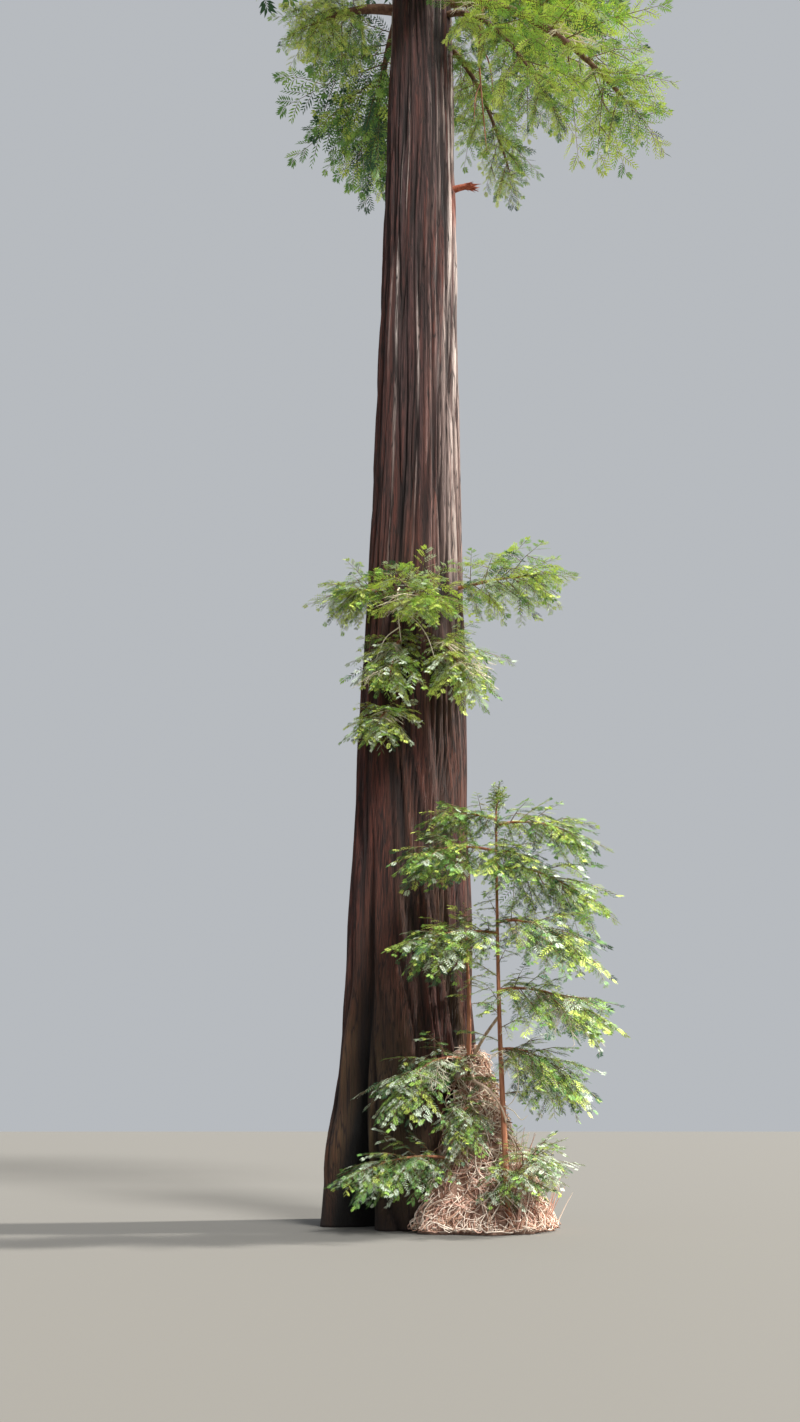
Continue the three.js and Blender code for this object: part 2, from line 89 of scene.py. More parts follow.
# Upright stems: x, y, foot, height, radius, tip radius and bow
LEADER = (1.8, -2.1, 0, 7.25, 0.055, 0.018, -0.06)
SECOND = (1.22, -1.16, 2.5, 5.3, 0.05, 0.018, 0.05)
SLANTING_LIMB = (0.032, [(1.28, -1.1, 2.75), (1.5, -1.6, 3.15), (1.8, -2.07, 3.55)])
CURVED_LIMB = (
    0.04,
    [(1.28, -1.1, 2.6), (1.3, -1.75, 2.4), (1.5, -2.15, 2.25), (1.72, -2.2, 1.95), (1.8, -2.12, 1.7)],
)
BROKEN_LIMB = {"height": 24.3, "heading": 350, "radius": 0.11, "tip": 0.05}
BROKEN_LIMB_LINE = {"reach": 0.72, "rise": 0.5, "sag": 0.35}

# Crown
CROWN_FOOT = 33
CROWN_TOP = 69.3
CROWN_RADIUS = 7.4
CROWN_POINT = 0.66
CROWN_SHOULDERS = (0.8, 1.6)
CROWN_LIMBS = 22
BOUGHED_LIMBS = 3
BARE_BOUGH = 0.36
CROWN_FIRST_HEADING = 115
CROWN_SEED = 7
CROWN_GROWTH = {
    "turn": 16,
    "reach": (0.86, 1.1),
    "rise": (0.12, 0.95),
    "sag": (0.5, 0.25),
    "sway": 0.25,
    "radius": (0.03, 0.028),
    "length": (0.5, 0.62),
}
SHOOTS_PER_BLADE = 3
LAST_SHOOT = 0.95
GROUND_GAP = 0.03
TAPER = 0.3

# What the masses of one kind share
TUFT = {"first": 0.14, "radius": 0.05, "blades": 8, "depth": 0.7, "droop": 0.22, "splay": (80, 36)}
TIER = {"first": 0.07, "radius": 0.03, "blades": 8, "depth": 0.6, "droop": 0.28, "splay": (80, 34)}
CROWN = {"first": 0.12, "radius": 0.15, "blades": 8, "depth": 0.95, "droop": 0.3, "splay": (84, 42)}
BOUGHED = {**CROWN, "first": BARE_BOUGH + 0.05}
HANGING = {**CROWN, "radius": 0.09, "splay": (70, 34)}

# Masses in rows: name, height on the stem, heading, reach, rise, sag and longest shoot
ROW = ("name", "height", "heading", "reach", "rise", "sag", "length")
TUFTS = [
    ("tuft_right", 12.7, 340, 1.9, 0.15, 0.12, 1.4),
    ("tuft_left", 12.5, 216, 0.8, 0.2, 0.4, 1.15),
    ("tuft_front_upper", 11.9, 274, 1.1, 0.3, 0.45, 1.6),
    ("tuft_front_lower", 11.2, 255, 1.0, 0, 1.2, 1.3),
    ("tuft_right_lower", 11.2, 299, 1.1, 0, 0.9, 1.3),
    ("tuft_left_lower", 9.6, 247, 0.9, 0.1, 0.7, 0.9),
]
LEADER_TIERS = [
    ("leader_top_left", 7.0, 200, 0.9, 0.3, 0.3, 1.0),
    ("leader_top_right", 6.9, 345, 1.3, 0.2, 0.35, 1.2),
    ("leader_upper_left", 6.4, 205, 1.35, 0.15, 0.25, 1.2),
    ("leader_upper_front", 6.3, 285, 0.7, 0.2, 0.3, 1.1),
    ("leader_upper_right", 6.1, 10, 1.45, 0.15, 0.4, 1.35),
    ("leader_middle_right", 5.1, 335, 1.3, 0.15, 0.5, 1.4),
    ("leader_middle_left", 4.9, 198, 1.3, 0.1, 0.2, 1.2),
    ("leader_low_right", 3.9, 352, 1.35, 0.2, 0.4, 1.35),
    ("leader_low_back", 2.9, 28, 1.2, 0.2, 0.5, 1.3),
]
BURL_SHOOTS = [
    ("burl_upper_left", 2.75, 214, 1.5, 0.35, 0.7, 1.3),
    ("burl_front", 1.95, 243, 0.6, 0.3, 0.8, 1.0),
    ("burl_lower_left", 1.1, 194, 1.55, 0.25, 0.3, 1.2),
    ("burl_lower_right", 0.6, 324, 0.75, 1.1, 0.3, 0.95),
]
LOW_BOUGHED = [
    ("low_right_foliage", 31.3, 352, 4.8, 0.1, 1.05, 2.7),
    ("low_left_foliage", 31, 188, 2.5, 0.1, 0.5, 1.6),
]
LOW_HANGING = [
    ("low_hanging_foliage", 30.6, 338, 2.8, 0.1, 1.6, 2.3),
    ("low_inner_foliage", 30.0, 16, 1.9, 0, 2.2, 1.8),
    ("low_front_foliage", 31.6, 268, 1.2, 0.3, 0.7, 1.2),
]
# Masses that carry a stem on above its tip, and the heights at which they start inside it
LEADER_TIP_START = 7.15
CROWN_TIP_START = 70.3
LEADER_TIP = {**TIER, "name": "leader_tip", "heading": 0, "reach": 0.04, "rise": 7.5, "sag": 0}
LEADER_TIP.update({"radius": 0.018, "blades": 5, "length": 0.42, "droop": -0.2, "splay": (66, 30)})
CROWN_TIP = {**CROWN, "name": "crown_tip", "heading": 0, "reach": 0.16, "rise": 5.6, "sag": 0}
CROWN_TIP.update({"radius": 0.1, "first": 0.08, "blades": 7, "length": 1.1, "droop": -0.3, "splay": (60, 30)})

# Shoots are carried on to twiglets, and twiglets to needles, by shares of the shoot's length
SHORTENED = (0.45, 0.6, 0.8, 1)
TOOTH_AT = 0.36
TOOTH_WIDTH = 0.25
SIDE_SHOOT_PLACES = (0.12, 0.62)
SIDE_SHOOT_ANGLES = (62, 38)
SIDE_SHOOT_LIFT = (-0.5, 0.8)
SIDE_SHOOT_LENGTHS = (0.385, 0.605)
TWIGLET_PLACES = (0.06, 0.99)
TWIGLET_ANGLES = (64, 34)
TWIGLET_SWING = 16
TWIGLET_LIFT = (-0.16, 0.3)
TWIGLET_LENGTHS = (0.21, 0.336)
TWIGLET_HANG = 0.14
TWIGLET_ROLL = 70
NEEDLES_START = 0.6
NEEDLE_ANGLES = (66, 28)
NEEDLE_SWING = 14
# Twiglets on a shoot and needles on each, the same on a side shoot, the number of side shoots, the length
# of a needle as a share of the shoot's, and its width as a share of its own length
NEAR = {"shoot": (12, 12), "side_shoot": (9, 9), "side_shoots": 3, "needle": 0.07, "width": 0.23}
FINE = {"shoot": (14, 14), "side_shoot": (10, 9), "side_shoots": 4, "needle": 0.054, "width": 0.24}
SKIRT = {"shoot": (14, 14), "side_shoot": (10, 9), "side_shoots": 4, "needle": 0.062, "width": 0.25}
HIGH = {"shoot": (8, 8), "side_shoot": (6, 6), "side_shoots": 3, "needle": 0.112, "width": 0.28}
SMALL = {"shoot": (8, 8), "side_shoot": (6, 6), "side_shoots": 2, "needle": 0.13, "width": 0.26}

# Needle colours, in sRGB. Sunlit, half lit and shade are painted sunlight, half light and shade on one green;
# the silvery colour is silvery needles with painted glints
NEEDLE_COLOURS = {
    "sunlit": (214, 232, 110),
    "half_lit": (156, 196, 90),
    "leaf": (110, 156, 80),
    "shade": (56, 94, 62),
    "silvery_and_glint": (208, 222, 200),
}
# Chances of the colours by group, on the side away from the sun and on the sunny side
COLOUR_MIX = {
    "tufts": ((5, 3, 1.8, 1.2, 3.2), (5.4, 3, 1.4, 1, 3)),
    "leader": ((1.2, 2.6, 3, 3, 1.9), (2.6, 3, 2.4, 2.6, 2.2)),
    "burl": ((0.5, 1.5, 3, 3, 3.5), (1, 2, 2.5, 1.6, 4)),
    "low": ((6, 3.6, 1.2, 0.6, 0.1), (5, 4, 1.6, 0.6, 0.1)),
    "crown": ((1, 2.5, 4, 3.5, 0.02), (2.4, 3.6, 3, 1.8, 0.02)),
}
SUN_HEADING = 340
SPRAY_SHARE = 0.6  # of the twiglets wear their spray's colour

MASK = 0xFFFFFFFF


def seeded(seed):
    """The solids' own seeded stream of even numbers from 0 to 1."""
    state = seed & MASK

    def draw():
        nonlocal state
        state = (state + 0x6D2B79F5) & MASK
        t = ((state ^ (state >> 15)) * (state | 1)) & MASK
        t ^= (t + (t ^ (t >> 7)) * (t | 61)) & MASK
        return (t ^ (t >> 14)) / 4294967296

    return draw


def lerp(a, b, share):
    return a + (b - a) * share


def unit(vectors):
    return vectors / np.linalg.norm(vectors, axis=-1, keepdims=True)


def bell(x):
    return np.exp(-x * x)


def turn(start, end):
    """The angle from one heading to another, from -180 to 180 degrees."""
    return (end - start + 540) % 360 - 180


def heading_vector(heading):
    angle = np.radians(heading)
    return np.stack([np.cos(angle), np.sin(angle), np.zeros_like(angle)], axis=-1)


def trunk_centre(height):
    """The trunk's centre line, which leans a little and straightens up in the crown."""
    height = np.asarray(height, dtype=float)
    leaning = LEAN["levels_off_at"] * (1 - np.exp(-height / LEAN["levels_off_at"]))
    return np.stack([LEAN["per_metre"] * leaning, np.zeros_like(height), height], axis=-1)


def shaft_radius(height):
    shaft = SHAFT_RADIUS * np.maximum(0, 1 - height / LIVING_HEIGHT) ** SHAFT_TAPER
    flare = FLARE_RADIUS * np.exp(-height / FLARE_HEIGHT)
    return shaft + flare + SWELL["radius"] * bell((height - SWELL["height"]) / SWELL["spread"])


def cleft_depth(height, heading):
    """How deep the cleft goes, as a share of the shaft's radius."""
    rise = np.maximum(0, 1 - height / CLEFT["top"])
    gape = bell(height / HOLLOW["height"])
    width = lerp(*CLEFT["half_widths"], rise) + HOLLOW["half_width"] * gape
    depth = CLEFT["depth"] * rise + HOLLOW["depth"] * gape
    return depth * bell(turn(CLEFT["heading"], heading) / width)


def trunk_radius(height, heading):
    fade = np.exp(-height / FLUTES_FADE)
    flutes = 0
    for size, count, phase, twist, fades in FLUTES:
        wave = np.cos(np.radians(count * heading) + phase + twist * height)
        flutes = flutes + size * (fade if fades else 1) * wave
    return shaft_radius(height) * (1 + flutes - cleft_depth(height, heading))


def ring_points(centres, radius, heading):
    """Points at a radius and a heading from each centre."""
    return centres + radius[..., None] * heading_vector(heading)


def burl_centre(share):
    return BURL_FOOT + BURL_LINE * np.asarray(share, dtype=float)[..., None]


def burl_radius(share, heading):
    lumps = sum(
        size * np.cos(np.radians(count * heading) + phase + twist * share)
        for size, count, phase, twist in BURL_LUMPS
    )
    heap = lerp(BURL["top"], BURL["foot"], (1 - share) ** BURL_HEAP)
    return heap * (1 + lumps) * (1 - BURL_NARROWS * share**6)


def limb_path(start, heading, reach, rise, sag, sway=0):
    """A limb's line: out along its heading, rising at first, then sagging under its weight."""
    out = heading_vector(heading)
    across = heading_vector(heading + 90)

    def path(share):
        s = np.asarray(share, dtype=float)[..., None]
        return start + reach * (out * s + across * (sway * s * (1 - s)) + UP * (rise * s - sag * s * s))

    return path


def tangent(path, share):
    return unit(path(share + 0.005) - path(share - 0.005))


def in_trunk(height, heading):
    reach = trunk_radius(height, heading) - BARK_DEPTH
    return trunk_centre(height) + heading_vector(heading) * reach


def in_burl(height, heading):
    share = height / BURL["height"]
    side = lerp(heading, 270, 0.6)
    return burl_centre(share) + heading_vector(side) * 0.8 * burl_radius(share, side)


def upright_path(x, y, foot, height, bow):
    def path(share):
        s = np.asarray(share, dtype=float)
        bowed = [x + bow * np.sin(np.pi * s), y - 0.5 * bow * np.sin(2 * np.pi * s)]
        return np.stack([*bowed, lerp(foot, height, s)], axis=-1)

    return path


def through(points):
    """A smooth line through the given points."""
    knots = np.array(points, dtype=float)
    knots = np.vstack([2 * knots[0] - knots[1], knots, 2 * knots[-1] - knots[-2]])

    def path(share):
        place = np.clip(np.asarray(share, dtype=float), 0, 1) * (len(knots) - 3)
        k = np.minimum(place.astype(int), len(knots) - 4)
        t = (place - k)[..., None]
        a, b, c, d = knots[k], knots[k + 1], knots[k + 2], knots[k + 3]
        bend = (2 * a - 5 * b + 4 * c - d) * t**2
        return 0.5 * (2 * b + (c - a) * t + bend + (3 * b - a - 3 * c + d) * t**3)

    return path


# Each mass of foliage, planned as in the solids
masses = []


def plan_mass(spec, start, group):
    path = limb_path(start, spec["heading"], spec["reach"], spec["rise"], spec["sag"], spec.get("sway", 0))
    line = path(np.linspace(spec["first"], 1, 6))
    index = len(masses)
    masses.append({**spec, "path": path, "line": line, "group": group, "index": index, "seed": 100 + index})


def plan_rows(shared, rows, group, start_of):
    for row in rows:
        spec = {**shared, **dict(zip(ROW, row))}
        plan_mass(spec, start_of(spec["height"], spec["heading"]), group)


def crown_radius(u):
    return CROWN_RADIUS * (1 - u) ** CROWN_POINT * lerp(*CROWN_SHOULDERS, u)


def plan_crown():
    draw = seeded(CROWN_SEED)
    grows = CROWN_GROWTH
    for i in range(CROWN_LIMBS):
        u = (i + 0.3) / CROWN_LIMBS
        height = lerp(CROWN_FOOT, CROWN_TOP, u)
        turned = GOLDEN_ANGLE * i + grows["turn"] * (draw() - 0.5)
        heading = (CROWN_FIRST_HEADING + turned) % 360
        reach = crown_radius(u) * lerp(*grows["reach"], draw()) - shaft_radius(height)
        spec = {
            **(BOUGHED if i < BOUGHED_LIMBS else CROWN),
            "name": f"crown_foliage_{i + 1:02d}",
            "heading": heading,
            "reach": reach,
            "rise": lerp(*grows["rise"], u),
            "sag": lerp(*grows["sag"], u),
            "sway": grows["sway"] * (draw() - 0.5),
            "radius": grows["radius"][0] + grows["radius"][1] * reach,
            "length": grows["length"][0] + grows["length"][1] * reach,
        }
        plan_mass(spec, in_trunk(height, heading), "crown")
    plan_mass(CROWN_TIP, trunk_centre(CROWN_TIP_START), "crown")


leader_path = upright_path(*LEADER[:4], LEADER[6])
second_path = upright_path(*SECOND[:4], SECOND[6])
plan_rows(TUFT, TUFTS, "tufts", in_trunk)
plan_rows(TIER, LEADER_TIERS, "leader", lambda height, heading: leader_path(height / LEADER[3]))
plan_mass(LEADER_TIP, leader_path(LEADER_TIP_START / LEADER[3]), "leader")
plan_rows(TIER, BURL_SHOOTS, "burl", in_burl)
plan_rows(BOUGHED, LOW_BOUGHED, "low", in_trunk)
plan_rows(HANGING, LOW_HANGING, "low", in_trunk)
plan_crown()

ALL_LINES = np.array([mass["line"] for mass in masses])


def in_own_space(index, points):
    """Whether each point is above the ground and nearer to its own mass's line than to any other's."""
    starts = ALL_LINES[:, :-1]
    spans = ALL_LINES[:, 1:] - starts
    away = points[:, None, None] - starts
    share = np.clip((away * spans).sum(-1) / (spans * spans).sum(-1), 0, 1)
    distances = np.linalg.norm(away - share[..., None] * spans, axis=-1).min(-1)
    others = np.delete(distances, index, axis=1).min(-1)
    return (points[:, 2] > GROUND_GAP) & (others > distances[:, index])


def shoots_of(mass):
    """Root, direction and length of a mass's shoots, by the solids' rule, fitted to its own space."""
    path, draw = mass["path"], seeded(mass["seed"])
    count = mass["blades"] * SHOOTS_PER_BLADE
    shoots = []
    for j in range(count):
        way = (j + 0.5) / count
        share = lerp(mass["first"], 0.97, way)
        along = tangent(path, share)
        side = unit(np.cross(along, UP))
        lift = np.cross(side, along)
        roll = math.radians(GOLDEN_ANGLE * j + 30 * (draw() - 0.5))
        splay = math.radians(lerp(*mass["splay"], way) + 14 * (draw() - 0.5))
        out = side * math.cos(roll) + lift * (math.sin(roll) * mass["depth"])
        direction = along * math.cos(splay) + out * math.sin(splay)
        fullness = 0.6 + 0.4 * math.sin(math.pi * (0.15 + 0.75 * way))
        size = np.linalg.norm(direction)
        length = mass["length"] * fullness * lerp(0.85, 1.15, draw()) * size
        shoots.append((path(share), unit(direction / size - UP * mass["droop"]), length))
    shoots.append((path(LAST_SHOOT), tangent(path, LAST_SHOOT), 0.75 * mass["length"]))
    return fitted(mass, *map(np.array, zip(*shoots)))


def fitted(mass, roots, directions, lengths):
    """Shoots shortened to stay in their mass's own space. One that fits at no length is left out."""
    across = unit(np.cross(directions, UP))
    fits = np.zeros_like(lengths)
    for share in SHORTENED:
        size = (share * lengths)[:, None]
        middle = roots + directions * TOOTH_AT * size
        half = across * TOOTH_WIDTH * size
        corners = [roots + directions * size, middle + half, middle - half]
        good = np.all([in_own_space(mass["index"], corner) for corner in corners], axis=0)
        fits = np.where(good, share, fits)
    kept = fits > 0
    return roots[kept], directions[kept], (lengths * fits)[kept]


OVERHANG = 0.018  # of each side, by which needles may pass the solids' box


def in_reach(points):
    """Whether each point is inside the solids' own box, or hardly outside it."""
    low, high = (np.array(corner) / SCALE for corner in cad_box)
    margin = OVERHANG * (high - low)
    return ((points > low - margin) & (points < high + margin)).all(-1)


def around(away):
    """The distance and the heading of points from an upright line."""
    return np.hypot(away[:, 0], away[:, 1]), np.degrees(np.arctan2(away[:, 1], away[:, 0])) % 360


def clear_of_trunk(points, part=1.0):
    """Whether each point is further out than a part of the trunk's radius."""
    height = np.clip(points[:, 2], 0, TRUNK_TOP)
    distance, heading = around(points - trunk_centre(height))
    return distance > part * trunk_radius(height, heading)


def clear_of_wood(points):
    """Whether each point is outside the trunk and the burl, give or take a little, and above the ground."""
    height = points[:, 2]
    share = np.clip(height / BURL["height"], 0, 1)
    distance, heading = around(points - burl_centre(share))
    off_burl = (distance > 0.95 * burl_radius(share, heading)) | (height > BURL["height"])
    return (height > GROUND_GAP) & (clear_of_trunk(points, 0.98) | (height > TRUNK_TOP)) & off_burl


def quads_round(firsts, sides):
    """Quads from each ring of a skin to the next, by the number of the ring's first point."""
    side = np.arange(sides)
    after = (side + 1) % sides
    low = firsts[..., None]
    high = low + sides
    return np.stack([low + side, low + after, high + after, high + side], axis=-1).reshape(-1, 4)


def tubes(points, radii, sides):
    """Tubes along many lines at once, from points (lines, steps, 3) and radii (lines, steps)."""
    lines, steps = radii.shape
    along = unit(np.gradient(points, axis=1))
    chord = np.abs(unit(points[:, -1] - points[:, 0]))
    reference = np.eye(3)[np.argmin(chord, axis=-1)][:, None]
    across = unit(np.cross(along, reference))
    normal = np.cross(across, along)
    angle = np.arange(sides) * 2 * np.pi / sides
    ring = across[:, :, None] * np.cos(angle)[:, None] + normal[:, :, None] * np.sin(angle)[:, None]
    vertices = points[:, :, None] + radii[:, :, None, None] * ring
    firsts = sides * (steps * np.arange(lines)[:, None] + np.arange(steps - 1))
    return vertices.reshape(-1, 3), quads_round(firsts, sides)


def closed_skin(points, ends):
    """A skin over rings of points (rings, sides, 3), closed towards an end point below and one above."""
    rings, sides = points.shape[:2]
    side = np.arange(sides)
    after = (side + 1) % sides
    last = sides * (rings - 1)
    bottom = np.stack([np.full(sides, rings * sides), after, side], axis=-1)
    top = np.stack([np.full(sides, rings * sides + 1), last + side, last + after], axis=-1)
    quads = quads_round(sides * np.arange(rings - 1), sides)
    return np.vstack([points.reshape(-1, 3), ends]), [quads, np.vstack([bottom, top])]


def kites(roots, directions, flat, lengths, widths):
    """Needles: kites of two faces, folded a little along the middle."""
    normal = np.cross(directions, flat)
    middle = roots + directions * (0.42 * lengths)[:, None]
    half = flat * (0.5 * widths)[:, None]
    fold = normal * (0.12 * widths)[:, None]
    tip = roots + directions * lengths[:, None]
    vertices = np.stack([roots, middle - half - fold, tip, middle + half - fold], axis=1)
    first = 4 * np.arange(len(roots))[:, None, None]
    faces = first + np.array([[0, 1, 2], [0, 2, 3]])
    return vertices.reshape(-1, 3), faces.reshape(-1, 3)


def joined(parts):
    """Many (vertices, faces) pairs as one."""
    offsets = np.cumsum([0] + [len(vertices) for vertices, _ in parts[:-1]])
    faces = [faces + offset for (_, faces), offset in zip(parts, offsets)]
    return np.vstack([vertices for vertices, _ in parts]), np.vstack(faces)


def add_object(name, data):
    thing = bpy.data.objects.new(name, data)
    bpy.context.scene.collection.objects.link(thing)
    return thing


def make_piece(name, part, materials, replaces=(), worn=None, smooth=True):
    """A mesh object on the root body, nowhere below the ground. part is its vertices and its faces: one
    array, or a list of arrays by number of corners. worn is the material of each face."""
    vertices, faces = part
    groups = faces if isinstance(faces, list) else [faces]
    corners = np.concatenate([np.full(len(group), group.shape[1]) for group in groups])
    vertices[:, 2] = np.maximum(vertices[:, 2], 0)
    mesh = bpy.data.meshes.new(name)
    mesh.vertices.add(len(vertices))
    mesh.vertices.foreach_set("co", (vertices * SCALE).astype(np.float32).ravel())
    mesh.loops.add(int(corners.sum()))
    order = np.concatenate([group.ravel() for group in groups])
    mesh.loops.foreach_set("vertex_index", order.astype(np.int32))
    mesh.polygons.add(len(corners))
    mesh.polygons.foreach_set("loop_start", (np.cumsum(corners) - corners).astype(np.int32))
    mesh.polygons.foreach_set("use_smooth", np.full(len(corners), smooth))
    if worn is not None:
        mesh.polygons.foreach_set("material_index", worn.astype(np.int32))
    mesh.update(calc_edges=True)
    for material in materials:
        mesh.materials.append(material)
    piece = add_object(name, mesh)
    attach(piece, "root")
    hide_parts(*replaces)
    return piece


# Materials


def linear(colour):
    """An sRGB colour of 0 to 255 as linear RGBA."""
    shares = np.array(colour) / 255
    values = np.where(shares <= 0.04045, shares / 12.92, ((shares + 0.055) / 1.055) ** 2.4)
    return (*values.tolist(), 1.0)


class Finish:
    """A material with its shader, and short ways to add nodes to it."""

    def __init__(self, name, roughness):
        self.material = bpy.data.materials.new(name)
        self.material.use_nodes = True
        self.tree = self.material.node_tree
        self.shader = self.tree.nodes["Principled BSDF"]
        self.shader.inputs["Roughness"].default_value = roughness

    def node(self, kind, **settings):
        node = self.tree.nodes.new(kind)
        for key, value in settings.items():
            if key in node.inputs:
                node.inputs[key].default_value = value
            else:
                setattr(node, key, value)
        return node

    def link(self, source, target):
        self.tree.links.new(source, target)

    def grain(self, stretch, detail, seed=0.0):
        """Noise in the object's own space, stretched by a scale for each axis."""
        place = self.node("ShaderNodeTexCoord")
        mapping = self.node("ShaderNodeMapping", Scale=stretch, Location=(seed, seed, seed))
        texture = self.node("ShaderNodeTexNoise", Scale=1.0, Detail=detail, Roughness=0.6)
        self.link(place.outputs["Object"], mapping.inputs["Vector"])
        self.link(mapping.outputs["Vector"], texture.inputs["Vector"])
        return texture.outputs["Fac"]

    def cracks(self, stretch, width, seed=0.0):
        """Thin winding lines between the plates of the bark: 0 in a line, 1 on a plate."""
        away = self.node("ShaderNodeMath", operation="SUBTRACT")
        away.inputs[1].default_value = 0.5
        self.link(self.grain(stretch, 2, seed), away.inputs[0])
        size = self.node("ShaderNodeMath", operation="ABSOLUTE")
        self.link(away.outputs[0], size.inputs[0])
        return self.mask(size.outputs[0], (0, width), 255)

    def ramp(self, factor, ends, colours):
        """From one sRGB colour to another, between two ends of a factor."""
        ramp = self.node("ShaderNodeValToRGB")
        for element, place, colour in zip(ramp.color_ramp.elements, ends, colours):
            element.position, element.color = place, linear(colour)
        self.link(factor, ramp.inputs["Fac"])
        return ramp.outputs["Color"]

    def mask(self, factor, ends, most):
        return self.ramp(factor, ends, [(0, 0, 0), (most, most, most)])

    def mark(self, name):
        """What the mesh says of a place under a name, from 0 to 1."""
        return self.node("ShaderNodeAttribute", attribute_name=name).outputs["Fac"]

    def mix(self, factor, first, second):
        mix = self.node("ShaderNodeMix", data_type="RGBA")
        for socket, value in ((mix.inputs[0], factor), (mix.inputs[6], first), (mix.inputs[7], second)):
            if isinstance(value, bpy.types.NodeSocket):
                self.link(value, socket)
            elif isinstance(value, tuple):
                socket.default_value = linear(value)
            else:
                socket.default_value = value
        return mix.outputs[2]

    def colour(self, socket):
        self.link(socket, self.shader.inputs["Base Color"])

    def bump(self, height, strength, distance):
        bump = self.node("ShaderNodeBump", Strength=strength, Distance=distance)
        self.link(height, bump.inputs["Height"])
        self.link(bump.outputs["Normal"], self.shader.inputs["Normal"])


# The trunk's colours in sRGB: where its fibres are dark and light, with the two colours, then plain ones
RED = ((0.36, 0.66), [(48, 21, 18), (108, 54, 43)])
GREY = ((0.36, 0.66), [(37, 28, 31), (84, 69, 71)])
# Pale bark of the thin streaks, and painted sunlight as pale strips on the sunny side
PAINTED_SUN_AND_BLEACHED = ((0.3, 0.62), [(168, 140, 130), (246, 234, 226)])
TORN_RED = ((0.3, 0.66), [(104, 44, 30), (178, 92, 66)])
WORN = (76, 38, 31)
OLIVE = (92, 78, 50)
IN_CRACKS = (34, 20, 18)
# Painted shade in the furrows and folds
FURROW_SHADE = (30, 18, 17)
# Painted shade deep in the cleft
CLEFT_SHADE_COLOUR = (14, 10, 9)


def trunk_bark():
    """Red and grey fibres, worn in patches, then the marks of the mesh from the widest to the darkest: olive,
    pale streaks with painted sunlight on the sunny side, torn red wood, dark cracks, and painted shade in the
    furrows and the cleft.
    """
    finish = Finish("redwood_bark", 0.92)
    fibres = finish.grain((75, 75, 3), 6)
    patches = finish.grain((1.1, 1.1, 0.3), 3, 9.1)
    greyness = finish.mask(finish.mark("tone"), (0.3, 0.8), 215)
    colour = finish.mix(greyness, finish.ramp(fibres, *RED), finish.ramp(fibres, *GREY))
    colour = finish.mix(finish.mask(patches, (0.4, 0.8), 120), colour, WORN)
    colour = finish.mix(finish.mark("olive"), colour, OLIVE)
    # Pale streaks, and painted sunlight as pale strips on the sunny side
    colour = finish.mix(finish.mark("pale"), colour, finish.ramp(fibres, *PAINTED_SUN_AND_BLEACHED))
    colour = finish.mix(finish.mark("torn"), colour, finish.ramp(fibres, *TORN_RED))
    colour = finish.mix(finish.cracks((13, 13, 0.8), 0.035, 2.3), IN_CRACKS, colour)
    # Painted shade in the furrows and folds
    colour = finish.mix(finish.mark("furrow_shade"), colour, FURROW_SHADE)
    # Painted shade deep in the cleft
    finish.colour(finish.mix(finish.mark("cleft_shade"), colour, CLEFT_SHADE_COLOUR))
    finish.bump(fibres, 1.0, 0.03)
    return finish.material


def limb_bark(name, dark, light, stretch):
    finish = Finish(name, 0.88)
    fibres = finish.grain(stretch, 4)
    patches = finish.grain((3, 3, 3), 3, 5.3)
    strips = finish.ramp(fibres, (0.32, 0.7), [dark, light])
    finish.colour(finish.mix(finish.mask(patches, (0.45, 0.7), 110), strips, dark))
    finish.bump(fibres, 0.5, 0.008)
    return finish.material


def plain(name, colour, roughness):
    finish = Finish(name, roughness)
    finish.shader.inputs["Base Color"].default_value = linear(colour)
    return finish.material


BARK = trunk_bark()
BOUGH_BARK = limb_bark("bough_bark", (74, 48, 40), (138, 102, 84), (14, 14, 14))
YOUNG_BARK = limb_bark("young_bark", (118, 64, 46), (196, 136, 104), (40, 40, 4))
RED_WOOD = limb_bark("red_wood", (122, 54, 36), (196, 112, 82), (30, 30, 30))
PALE_BARK = limb_bark("pale_bark", (150, 118, 98), (222, 198, 180), (40, 40, 6))
BURL_BARK = limb_bark("burl_bark", (118, 86, 72), (204, 168, 148), (20, 20, 6))
TWIG = plain("twig", (112, 86, 58), 0.8)
STALK_COLOURS = [
    plain("stalk_brown", (180, 142, 120), 0.9),
    plain("stalk_pale", (242, 224, 208), 0.85),
    plain("stalk_dark", (124, 88, 72), 0.95),
    plain("stalk_rosy", (220, 176, 158), 0.85),
]
DEAD_WOOD = plain("dead_wood", (228, 214, 196), 0.85)
NEEDLES = [plain(f"needles_{name}", colour, 0.55) for name, colour in NEEDLE_COLOURS.items()]


# Trunk
TRUNK_SIDES = 330
TRUNK_RINGS = 140
TRUNK_SPACING = 1.5
# Furrows of the bark: how many round the trunk, stretch a metre, depth, width, painted shade and seed
FURROWS = [(38, 0.2, 0.1, 0.15, 1, 0.0), (84, 0.4, 0.05, 0.2, 0.5, 20.0)]
FURROW_STRENGTH = (0.5, 1.2)
# Broad folds of the foot, with painted shade in them, and how the bark of one side leans towards the burl
FOLDS = {"depth": 0.15, "width": 0.24, "height": 6.5, "shade": 0.9}
LEANING = {"heading": 298, "spread": 60, "per_metre": 7, "below": 9}
# The relief of the bark grows with the shaft's radius between these two
THICKEST_BARK_AT = 1.4
THINNEST_BARK_AT = 0.15
# The foot is olive. Higher up the bark is greyer, a painted sky reflection, with painted sunlight as pale
# strips on its sunny side, and thin pale streaks
OLIVE_HEIGHT = 6
PAINTED_SKY_AND_SUN = {"grey": 0.28, "heading": 332, "spread": 32, "from": 9, "over": 14}
PALEST_STREAK = 0.75
# Bare red wood round the foot of the broken limb, mostly under it
TORN = {"spread": 15, "below": 0.5, "tall": 0.9}
# The deeper the cleft, the darker its painted shade
CLEFT_SHADING = {"sharpness": 7, "starts": 0.55}
